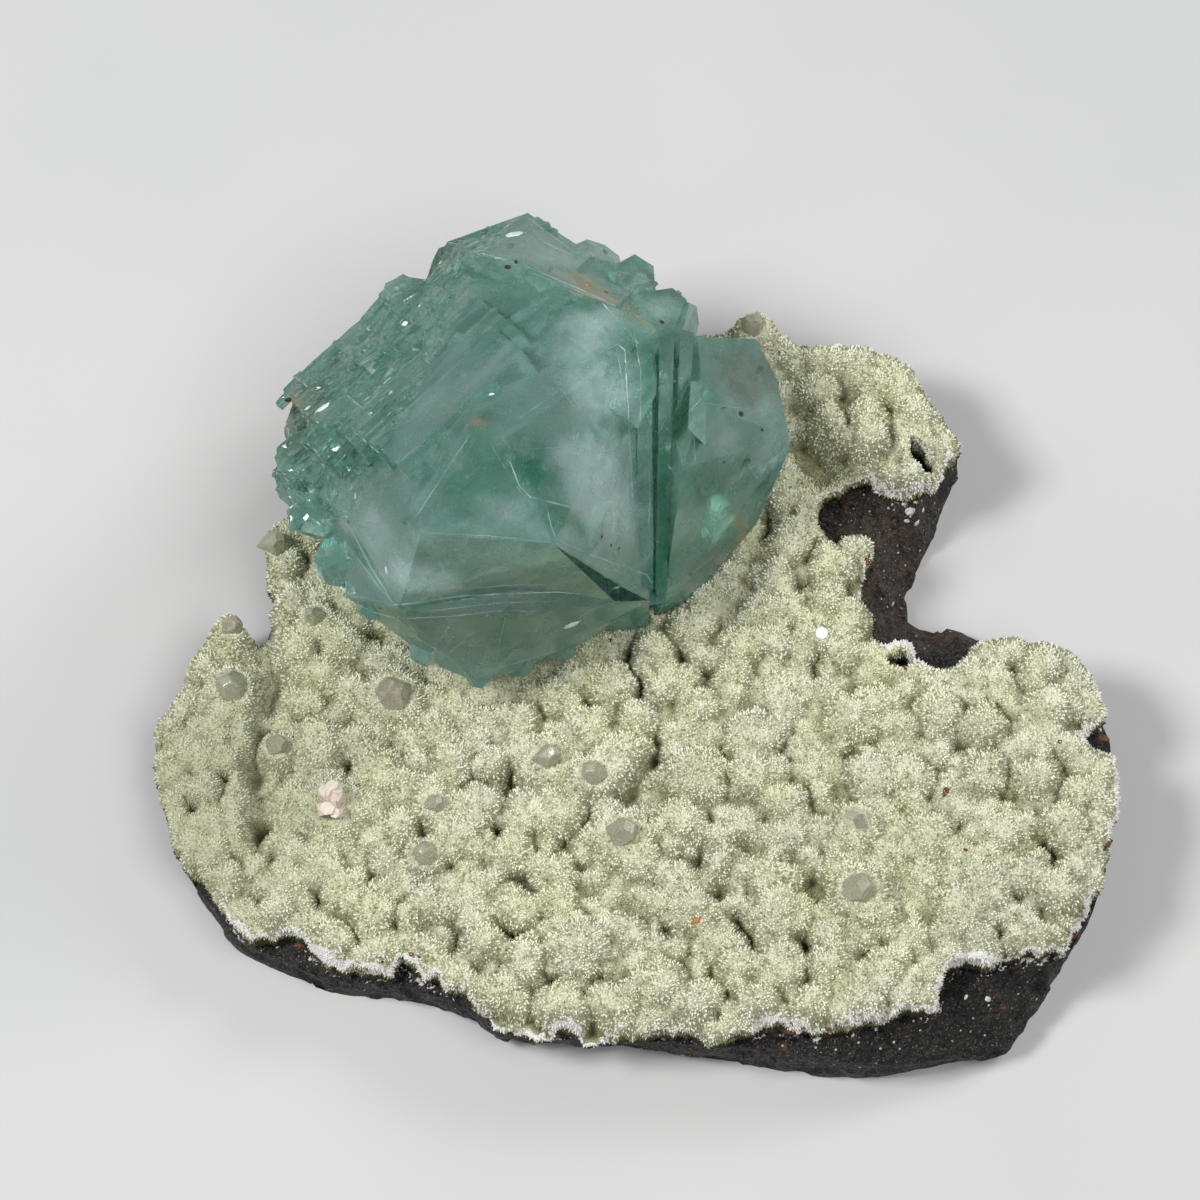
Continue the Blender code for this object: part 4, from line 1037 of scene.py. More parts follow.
    def skin(self) -> Object:
        """The closed skin of the crust, with its chalky broken side.

        Returns:
            The new piece.
        """
        rings = [self.plan.edge, *self.plan.holes]
        low, high = self.plan.edge.min(axis=0), self.plan.edge.max(axis=0)
        fill = lattice(low, high, self.spacing, 0.22, 41)
        fill = fill[inside(fill, self.plan.edge)]
        for ring in rings:
            fill = fill[ring_distance(fill, ring) > 0.5 * self.spacing]
        for hole in self.plan.holes:
            fill = fill[~inside(fill, hole)]
        plan = np.vstack([*rings, fill])
        sides, start = [], 0
        for ring in rings:
            sides += [(start + i, start + (i + 1) % len(ring)) for i in range(len(ring))]
            start += len(ring)
        found = delaunay_2d_cdt([Vector(p) for p in plan], sides, [], 0, 1e-5)
        plan = np.array([tuple(v) for v in found[0]])
        faces = np.array(found[2])
        middle = plan[faces].mean(axis=1)
        keep = inside(middle, self.plan.edge)
        for hole in self.plan.holes:
            keep &= ~inside(middle, hole)
        faces = faces[keep]
        top = self.heights(plan)
        cavity = self.cavities(plan, top)
        edge_away = ring_distance(plan, self.plan.edge)
        chalk = np.clip(1.1 - edge_away / (0.8 + 0.9 * value_noise(plan, 2.4, 51)).clip(0.2), 0.0, 1.0)
        chalk *= chalk_share(plan)
        points = [np.column_stack([plan, top])]
        cavities, chalks = [cavity], [chalk]
        quads: list[tuple[int, ...]] = []
        start, count = 0, len(plan)
        for ring in rings:
            size = len(ring)
            above = np.arange(start, start + size)
            ring_top = top[start:start + size]
            ring_low = self.plan.level(ring[:, 0]) - CRUST_DEPTH + TOUCH_GAP
            for k in range(1, self.BELT + 1):
                share = k / self.BELT
                z = ring_top + (ring_low - ring_top) * share
                space = np.column_stack([ring, z])
                if k < self.BELT:
                    push = noise_sum(space, self.wall_relief) - 0.1
                    z = z + 0.1 * value_noise(space, 0.5, 63)
                else:
                    push = np.zeros(size)
                loop = inward(ring, -push if start == 0 else push)
                points.append(np.column_stack([loop, z]))
                # The side turns dark towards its foot through the cavity mark, and its chalk fades there.
                dark_below = np.clip((share + 0.45 * value_noise(space, 0.9, 65) - 0.55) / 0.15, 0.0, 1.0)
                white = np.clip(0.45 + 0.3 * share + 0.9 * value_noise(space, 1.2, 64), 0.0, 1.0)
                cavities.append(0.3 + 1.9 * dark_below)
                chalks.append(white * chalk_share(ring) * (1.0 - dark_below))
                below = np.arange(count, count + size)
                count += size
                for i in range(size):
                    j = (i + 1) % size
                    quads.append((above[j], above[i], below[i], below[j]))
                above = below
            start += size
        lower_faces = self.underside(points, rings)
        mesh = self.closed(np.vstack(points), [*faces.tolist(), *quads, *lower_faces])
        store(mesh, "cavity", np.concatenate(cavities))
        store(mesh, "chalk", np.concatenate(chalks))
        store(mesh, "tone", np.full(count, 1.0))
        store(mesh, "slope", np.array([1.0 - vertex.normal.z for vertex in mesh.vertices]))
        piece = new_piece("druse_skin", mesh, DruseFinish("druse_ground", ground=0.7).material())
        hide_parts("druse_crust")
        return piece

    def underside(self, points: list[np.ndarray], rings: list[np.ndarray]) -> list[tuple[int, ...]]:
        """Faces that close the skin below, between the last loops of its sides.

        Args:
            points: the blocks of points made so far, the plan's first and then each side's loops.
            rings: the rings of the plan.

        Returns:
            Faces by the points' numbers.
        """
        starts = np.cumsum([0, *[len(block) for block in points]])
        numbers, plan, sides = [], [], []
        for index, ring in enumerate(rings):
            block = (index + 1) * self.BELT
            first = len(numbers)
            numbers += range(starts[block], starts[block] + len(ring))
            plan.append(points[block][:, :2])
            sides += [(first + i, first + (i + 1) % len(ring)) for i in range(len(ring))]
        plan = np.vstack(plan)
        found = delaunay_2d_cdt([Vector(p) for p in plan], sides, [], 0, 1e-7)
        faces = np.array(found[2])
        middle = plan[faces].mean(axis=1)
        keep = inside(middle, rings[0])
        for hole in rings[1:]:
            keep &= ~inside(middle, hole)
        return [tuple(numbers[i] for i in reversed(face)) for face in faces[keep]]

    def closed(self, points: np.ndarray, faces: list[Sequence[int]]) -> Mesh:
        """The skin's mesh in its place in the frame, with its faces pointing out.

        Args:
            points: the skin's points.
            faces: the numbers of each face's points.

        Returns:
            The mesh.
        """
        mesh = mesh_from("druse_skin", points + np.array([*PLAN_SHIFT, 0.0]), faces)
        bm = bmesh.new()
        bm.from_mesh(mesh)
        bmesh.ops.triangulate(bm, faces=[f for f in bm.faces if len(f.verts) > 3])
        bmesh.ops.recalc_face_normals(bm, faces=bm.faces)
        bm.to_mesh(mesh)
        bm.free()
        mesh.shade_smooth()
        return mesh

    def grain_tree(self) -> tuple[NodeTree, dict[str, str]]:
        """Nodes that cover a stretch of the crust with minute crystals.

        Returns:
            The tree, and the identifier of each named input.
        """
        tree = bpy.data.node_groups.new("druse_grains", "GeometryNodeTree")
        sockets = {}
        tree.interface.new_socket("Geometry", in_out="INPUT", socket_type="NodeSocketGeometry")
        for name, kind in (("From", "Float"), ("To", "Float"), ("Size", "Float"), ("Gap", "Float"),
                           ("Density", "Float"), ("Seed", "Int"), ("Material", "Material")):
            socket = tree.interface.new_socket(name, in_out="INPUT", socket_type="NodeSocket" + kind)
            sockets[name] = socket.identifier
        tree.interface.new_socket("Geometry", in_out="OUTPUT", socket_type="NodeSocketGeometry")
        wires = Wiring(tree)
        given = wires.add("NodeGroupInput").outputs
        spot = wires.add("GeometryNodeInputPosition").outputs[0]
        x = wires.add("ShaderNodeSeparateXYZ", {0: spot}).outputs[0]
        after = wires.compare(x, given["From"], "GREATER_EQUAL")
        before = wires.compare(x, given["To"], "LESS_THAN")
        normal = wires.add("GeometryNodeInputNormal").outputs[0]
        up = wires.add("ShaderNodeSeparateXYZ", {0: normal}).outputs[2]
        outer = wires.compare(up, self.lowest_facing, "GREATER_THAN")
        in_band = wires.add("FunctionNodeBooleanMath", {0: after, 1: before}, operation="AND").outputs[0]
        chosen = wires.add("FunctionNodeBooleanMath", {0: in_band, 1: outer}, operation="AND").outputs[0]
        spread = wires.add("GeometryNodeDistributePointsOnFaces",
                           {"Mesh": given["Geometry"], "Selection": chosen, "Distance Min": given["Gap"],
                            "Density Max": given["Density"], "Density Factor": 1.0, "Seed": given["Seed"]},
                           distribute_method="POISSON")
        crystal = wires.add("GeometryNodeMeshCone",
                            {"Vertices": 4, "Side Segments": 1, "Fill Segments": 1, "Radius Top": 0.0,
                             "Radius Bottom": 1.0, "Depth": 2.2}, fill_type="NGON").outputs["Mesh"]
        sunk = wires.add("GeometryNodeTransform", {"Geometry": crystal, "Translation": (0.0, 0.0, -0.6)})
        tilt = self.grain_tilt
        limits = {"Min": (-tilt, -tilt, 0.0), "Max": (tilt, tilt, 6.28), "Seed": given["Seed"]}
        spin = wires.add("FunctionNodeRandomValue", limits, data_type="FLOAT_VECTOR").outputs[0]
        turn = wires.add("FunctionNodeRotateRotation", {0: spread.outputs["Rotation"], 1: spin},
                         rotation_space="LOCAL").outputs[0]
        least, most = self.grain_sizes
        share = wires.add("FunctionNodeRandomValue", {2: least, 3: most, "Seed": given["Seed"]},
                          data_type="FLOAT").outputs[1]
        size = wires.math("MULTIPLY", share, given["Size"])
        placed = wires.add("GeometryNodeInstanceOnPoints",
                           {"Points": spread.outputs["Points"], "Instance": sunk.outputs[0],
                            "Rotation": turn, "Scale": size}).outputs[0]
        tone = wires.add("FunctionNodeRandomValue", {2: 0.0, 3: 1.0, "Seed": 7}, data_type="FLOAT").outputs[1]
        toned = wires.add("GeometryNodeStoreNamedAttribute",
                          {"Geometry": placed, "Name": "tone", "Value": tone},
                          data_type="FLOAT", domain="INSTANCE").outputs[0]
        real = wires.add("GeometryNodeRealizeInstances", {0: toned}).outputs[0]
        dressed = wires.add("GeometryNodeSetMaterial", {"Geometry": real, "Material": given["Material"]})
        wires.add("NodeGroupOutput", {0: dressed.outputs[0]})
        return tree, sockets

    def grains(self, skin: Object) -> list[Object]:
        """The minute crystals of the crust, in bands across the slab.

        Args:
            skin: the piece that they grow on.

        Returns:
            The new pieces.
        """
        tree, sockets = self.grain_tree()
        material = DruseFinish("druse_grain", speckle=0.85).material()
        low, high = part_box("druse_crust")
        width = (high.x - low.x) / self.grain_bands
        pieces = []
        for band in range(self.grain_bands):
            carrier = bpy.data.objects.new("grain_carrier", skin.data)
            bpy.context.scene.collection.objects.link(carrier)
            step = carrier.modifiers.new("grains", "NODES")
            step.node_group = tree
            values = {"From": low.x + width * band, "To": low.x + width * (band + 1),
                      "Size": self.grain_size * MM, "Gap": self.grain_gap * MM,
                      "Density": self.grain_density / MM ** 2, "Seed": 100 + band, "Material": material}
            for name, value in values.items():
                step[sockets[name]] = value
            carrier.update_tag()
            graph = bpy.context.evaluated_depsgraph_get()
            mesh = bpy.data.meshes.new_from_object(carrier.evaluated_get(graph))
            mesh.name = f"druse_grains_{band + 1}"
            carrier.modifiers.remove(step)
            bpy.data.objects.remove(carrier)
            pieces.append(new_piece(mesh.name, mesh, material))
        return pieces


@dataclass(frozen=True)
class ApophylliteFinish:
    """Blue-green crystal: see-through, cloudy inside, with fine growth lines on its faces."""

    name: str = "apophyllite"
    deep: Colour = (0.20, 0.43, 0.35)
    body: Colour = (0.36, 0.60, 0.53)
    cloud: Colour = (0.74, 0.97, 0.93)
    pale: Colour = (0.55, 0.78, 0.72)
    shadow: Colour = (0.08, 0.34, 0.22)
    smoke_and_shade: Colour = (0.27, 0.36, 0.30)
    film: Colour = (0.58, 0.55, 0.38)
    clear: float = 0.72
    absorb_colour: Colour = (0.45, 0.86, 0.76)
    absorb_density: float = 22.0

    def material(self) -> Material:
        """Build the material.

        Returns:
            The material.
        """
        recipe = Recipe(self.name)
        large = recipe.noise(11.0, 3.0, 0.55, 0.6)
        streak = recipe.noise(2.6, 2.0, 0.6, 0.3, recipe.turned((12.0, 0.0, -43.0), (0.16, 1.0, 1.0)))
        wisp = recipe.noise(2.4, 3.0, 0.7, 1.3)
        veil = recipe.noise(5.0, 3.0, 0.62, 0.9)
        colour = recipe.blend(recipe.band(large, 0.38, 0.64), self.deep, self.body)
        colour = recipe.blend(recipe.band(streak, 0.50, 0.72, 0.0, 0.6), colour, self.pale)
        # A smoky grey tint of the crystal, which on the downward-facing foot crystals is painted shade.
        colour = recipe.blend(self.share(recipe, "smoke_and_shade", veil), colour, self.smoke_and_shade)
        # Painted shade: the deep marks turn facets that lie in shade towards the shadow colour; in places
        # this is the crystal's own deeper tint.
        colour = recipe.blend(self.share(recipe, "deep", veil), colour, self.shadow)
        colour = recipe.blend(self.share(recipe, "cloud", veil), colour, self.cloud)
        colour = recipe.blend(recipe.band(wisp, 0.60, 0.80, 0.0, 0.55), colour, self.cloud)
        colour = recipe.blend(self.share(recipe, "film", wisp), colour, self.film)
        steps = recipe.noise(0.9, 2.0, 0.6, 0.2, recipe.turned((12.0, 0.0, -43.0), (0.12, 1.0, 1.0)))
        fine = recipe.noise(0.35, 1.0, 0.6)
        cover = recipe.band(recipe.noise(4.0, 1.0, 0.6), 0.48, 0.60)
        rough = recipe.band(recipe.math("MULTIPLY", cover, fine), 0.1, 0.6, 0.13, 0.42)
        normal = recipe.bump(fine, 0.05, 0.35, recipe.bump(steps, 0.10, 0.45))
        recipe.absorb(self.absorb_colour, self.absorb_density)
        return recipe.finish(Base_Color=colour, Roughness=rough, Transmission_Weight=self.clear, IOR=1.535,
                             Normal=normal)

    @staticmethod
    def share(recipe: Recipe, name: str, pattern: NodeSocket) -> NodeSocket:
        """A mark kept on the mesh, broken up by a pattern.

        Args:
            recipe: the material's nodes.
            name: the mark's name.
            pattern: the noise that breaks it up.

        Returns:
            The mark's share.
        """
        mark = recipe.attribute(name)
        broken = recipe.math("ADD", mark, recipe.band(pattern, 0.3, 0.7, -0.35, 0.35))
        return recipe.math("MULTIPLY", mark, recipe.band(broken, 0.1, 0.8), clamp=True)


@dataclass(frozen=True)
class RidgeHighlightFinish:
    """Pale, bright crystal of the growth edges, which also paints their highlights."""

    name: str = "growth_edge_highlight"
    colour: Colour = (0.74, 0.90, 0.86)

    def material(self) -> Material:
        """Build the material.

        Returns:
            The material.
        """
        recipe = Recipe(self.name)
        mottle = recipe.band(recipe.noise(1.6, 2.0, 0.6), 0.35, 0.65)
        colour = recipe.blend(mottle, (0.46, 0.72, 0.65), self.colour)
        return recipe.finish(Base_Color=colour, Roughness=0.22, Transmission_Weight=0.5, IOR=1.535,
                             Normal=recipe.bump(recipe.noise(0.3, 1.0, 0.6), 0.04, 0.4))


@dataclass(frozen=True)
class VeilFinish:
    """White film of healed cracks and trapped fluid inside the crystal."""

    name: str = "inner_veil"
    colour: Colour = (0.80, 0.93, 0.93)

    def material(self) -> Material:
        """Build the material.

        Returns:
            The material.
        """
        recipe = Recipe(self.name)
        wisps = recipe.band(recipe.noise(2.4, 3.0, 0.65, 0.8), 0.38, 0.66)
        dots = recipe.band(recipe.cells(0.7), 0.16, 0.06, 0.0, 0.5)
        cover = recipe.math("ADD", wisps, dots, clamp=True)
        alpha = recipe.math("MULTIPLY", cover, recipe.attribute("cover"), clamp=True)
        return recipe.finish(Base_Color=self.colour, Roughness=0.45, Alpha=alpha,
                             Normal=recipe.bump(wisps, 0.2, 0.5))


@dataclass(frozen=True)
class Veil:
    """One inner sheet, placed under a pixel of the photograph."""

    u: float
    v: float
    depth: float
    half_width: float
    half_height: float
    turn: float
    lean: float
    cover: float
    bend: float = 1.0


VEILS = [
    Veil(612, 430, 7, 8, 15, 8, 15, 0.75, 2), Veil(585, 350, 6, 9, 9, 30, -20, 0.6, 2),
    Veil(560, 500, 9, 7, 7, -20, 10, 0.5, 2), Veil(420, 578, 3, 5, 3.6, -10, 25, 0.8),
    Veil(470, 500, 8, 9, 8, 0, 20, 0.45, 2), Veil(700, 500, 6, 5, 8, 20, 10, 0.35),
    Veil(622, 400, 2.5, 0.8, 8.5, -4, 55, 0.9, 0.3), Veil(648, 500, 3, 0.6, 11, 2, 60, 0.9, 0.3),
    Veil(666, 425, 1.5, 1.3, 6, -8, 40, 0.7, 0.2), Veil(640, 470, 5, 1, 12, 0, 65, 0.7, 0.3),
    Veil(500, 596, 1.5, 12, 0.28, -3, 10, 1, 0.3), Veil(480, 603, 2, 9, 0.22, -5, 10, 1, 0.2),
    Veil(570, 566, 3, 8, 0.35, 28, 10, 0.9, 0.4), Veil(520, 485, 3, 0.5, 3.6, -28, 20, 1, 0.3),
    Veil(440, 470, 5, 0.7, 8, 33, 30, 0.55, 0.4), Veil(372, 560, 2, 0.5, 6.5, -32, 20, 0.8, 0.3),
    Veil(540, 290, 5, 8, 5, 25, 10, 0.35, 1.5), Veil(390, 420, 6, 7, 8, -45, 0, 0.3, 1.5),
]


@dataclass(frozen=True)
class Mark:
    """A soft patch of colour under a pixel of the photograph: a cloud, film or tint inside the crystal, or
    painted shade on its faces.
    """

    u: float
    v: float
    half_u: float
    half_v: float
    turn: float = 0.0
    strength: float = 1.0

    def weight(self, pixels: np.ndarray) -> np.ndarray:
        """How strongly the mark shows at each pixel.

        Args:
            pixels: one row for each place.

        Returns:
            One strength for each place.
        """
        c, s = math.cos(math.radians(self.turn)), math.sin(math.radians(self.turn))
        du, dv = pixels[:, 0] - self.u, pixels[:, 1] - self.v
        along, across = (du * c + dv * s) / self.half_u, (dv * c - du * s) / self.half_v
        return self.strength * np.clip(1.45 - np.hypot(along, across), 0.0, 1.0)


MARKS = {
    "cloud": [
        Mark(591, 335, 45, 28, -20, 0.9), Mark(601, 389, 36, 38), Mark(594, 470, 42, 52),
        Mark(610, 506, 28, 38), Mark(503, 511, 34, 25, 0, 0.55), Mark(415, 578, 46, 20, 8),
        Mark(371, 528, 20, 32, -30, 0.7), Mark(459, 389, 55, 32, -40, 0.35),
        Mark(722, 440, 24, 36, 0, 0.5), Mark(688, 504, 16, 48, 0, 0.4), Mark(490, 562, 82, 16, 2, 0.4),
        Mark(540, 256, 32, 14, 30, 0.6), Mark(664, 311, 18, 14, 0, 0.6),
        Mark(490, 262, 50, 14, -28, 0.4), Mark(452, 632, 30, 10, 10, 0.35),
        Mark(548, 632, 26, 10, -10, 0.35),
    ],
    # Painted shade on facets in shade, partly the crystal's own deeper teal.
    "deep": [
        Mark(350, 590, 44, 20, 45, 0.5), Mark(480, 492, 56, 44, 0, 0.55),
        Mark(505, 636, 14, 30, 10, 0.6), Mark(527, 474, 26, 15, 40), Mark(574, 522, 34, 12, 25),
        Mark(646, 378, 9, 36, 5, 0.8), Mark(660, 487, 9, 62, 0, 0.9), Mark(606, 572, 48, 14, 18, 0.4),
        Mark(540, 566, 62, 12, 0, 0.6), Mark(662, 565, 11, 40, 0, 0.9), Mark(603, 360, 14, 7, -40, 0.6),
        Mark(372, 594, 44, 20, 45, 0.5), Mark(455, 470, 22, 34, 30, 0.35),
        Mark(440, 330, 50, 22, -40, 0.3),
    ],
    # Smoky grey tint, and painted shade on the foot crystals that face down.
    "smoke_and_shade": [
        Mark(440, 628, 90, 30, 20, 0.7), Mark(545, 625, 80, 24, -12, 0.8),
        Mark(480, 626, 120, 36, 0, 0.9), Mark(330, 470, 50, 60, -30, 0.35),
        Mark(352, 610, 40, 16, 45, 0.5), Mark(750, 376, 38, 30, 0, 0.9), Mark(655, 288, 36, 12, 28, 0.8),
        Mark(300, 415, 22, 52, 25, 0.8), Mark(440, 258, 40, 16, -30, 0.7),
        Mark(473, 648, 62, 22, 10, 0.7), Mark(712, 562, 34, 20, -45, 0.9),
        Mark(552, 640, 66, 16, -8, 0.5), Mark(350, 350, 50, 18, -45, 0.5),
    ],
    "film": [
        Mark(743, 533, 12, 22, -40, 0.9), Mark(588, 290, 44, 7, 28), Mark(466, 424, 28, 4, 14),
        Mark(428, 533, 22, 3, 2, 0.8), Mark(638, 318, 26, 5, 34, 0.8), Mark(295, 404, 7, 22, 15, 0.7),
    ],
}


@dataclass(frozen=True)
class GrowthHighlightLine:
    """A bright edge or healed crack of the crystal, along pixels of the photograph, whose pale ridge is also
    a painted highlight.
    """

    width: float
    pixels: tuple[tuple[float, float], ...]


# Pale ridges along the crystal's edges: growth edges and healed cracks, which are also painted highlights.
GROWTH_HIGHLIGHT_LINES = [
    GrowthHighlightLine(0.16, ((476, 251), (530, 268), (584, 291), (642, 318), (665, 326))),
    GrowthHighlightLine(0.14, ((527, 217), (567, 247), (594, 263))),
    GrowthHighlightLine(0.20, ((541, 241), (563, 251), (574, 256))),
    GrowthHighlightLine(0.22, ((616, 343), (625, 350), (628, 403), (630, 447), (633, 501))),
    GrowthHighlightLine(0.14, ((616, 343), (622, 380), (628, 420))),
    GrowthHighlightLine(0.14, ((634, 330), (641, 372), (640, 430))),
    GrowthHighlightLine(0.16, ((660, 384), (676, 381), (674, 399), (659, 433), (652, 450))),
    GrowthHighlightLine(0.12, ((660, 384), (653, 416), (655, 450))),
    GrowthHighlightLine(0.12, ((655, 450), (672, 470), (676, 481))),
    GrowthHighlightLine(0.18, ((649, 467), (650, 504), (645, 568))),
    GrowthHighlightLine(0.12, ((656, 500), (654, 540), (650, 574))),
    GrowthHighlightLine(0.18, ((557, 541), (591, 555), (628, 568), (647, 575), (659, 596))),
    GrowthHighlightLine(0.14, ((566, 552), (600, 567), (636, 580))),
    GrowthHighlightLine(0.26, ((388, 606), (422, 602), (459, 596), (507, 594), (557, 592), (581, 594))),
    GrowthHighlightLine(0.14, ((459, 589), (513, 585), (564, 584))),
    GrowthHighlightLine(0.12, ((430, 611), (500, 603), (560, 601))),
    GrowthHighlightLine(0.22, ((346, 520), (368, 562), (392, 602))), GrowthHighlightLine(0.14, ((356, 556), (384, 594))),
    GrowthHighlightLine(0.14, ((375, 575), (395, 555), (405, 565), (415, 555))),
    GrowthHighlightLine(0.14, ((471, 433), (444, 474), (415, 518))),
    GrowthHighlightLine(0.14, ((486, 437), (505, 468), (524, 497))),
    GrowthHighlightLine(0.14, ((422, 533), (488, 536), (554, 543))),
    GrowthHighlightLine(0.24, ((508, 457), (520, 487), (530, 497), (574, 508))),
    GrowthHighlightLine(0.16, ((547, 508), (551, 525), (557, 541))),
    GrowthHighlightLine(0.12, ((500, 437), (513, 450), (571, 447), (628, 457))),
    GrowthHighlightLine(0.12, ((517, 420), (561, 389), (574, 406))),
    GrowthHighlightLine(0.14, ((567, 369), (594, 357), (622, 342))),
    GrowthHighlightLine(0.12, ((669, 426), (689, 381), (701, 399), (676, 426))),
    GrowthHighlightLine(0.14, ((701, 403), (743, 408), (777, 413))), GrowthHighlightLine(0.10, ((693, 420), (696, 470))),
    GrowthHighlightLine(0.16, ((737, 483), (747, 464), (760, 483))),
    GrowthHighlightLine(0.14, ((507, 609), (500, 640), (496, 673))), GrowthHighlightLine(0.10, ((454, 617), (429, 660))),
    GrowthHighlightLine(0.12, ((398, 619), (454, 616), (507, 610))),
    GrowthHighlightLine(0.12, ((507, 610), (535, 612), (542, 624))),
    GrowthHighlightLine(0.12, ((398, 619), (420, 640), (446, 655), (473, 680))),
    GrowthHighlightLine(0.10, ((473, 680), (500, 668), (560, 650))),
    GrowthHighlightLine(0.12, ((446, 655), (465, 640), (473, 680))),
    GrowthHighlightLine(0.10, ((542, 624), (520, 645), (500, 668))),
    GrowthHighlightLine(0.12, ((578, 618), (600, 606), (622, 612))),
    GrowthHighlightLine(0.10, ((348, 600), (372, 612), (398, 619))),
    GrowthHighlightLine(0.12, ((320, 560), (346, 594), (392, 604))),
    GrowthHighlightLine(0.14, ((403, 271), (449, 242), (463, 245))),
    GrowthHighlightLine(0.12, ((405, 291), (440, 271), (476, 251))),
    GrowthHighlightLine(0.12, ((642, 298), (669, 296), (676, 300))), GrowthHighlightLine(0.10, ((608, 268), (652, 281))),
    GrowthHighlightLine(0.12, ((348, 416), (380, 387), (412, 359))),
    GrowthHighlightLine(0.12, ((330, 470), (372, 430), (395, 408))), GrowthHighlightLine(0.10, ((390, 470), (425, 440))),
    GrowthHighlightLine(0.12, ((310, 520), (345, 520))), GrowthHighlightLine(0.12, ((520, 268), (600, 300), (640, 345))),
]


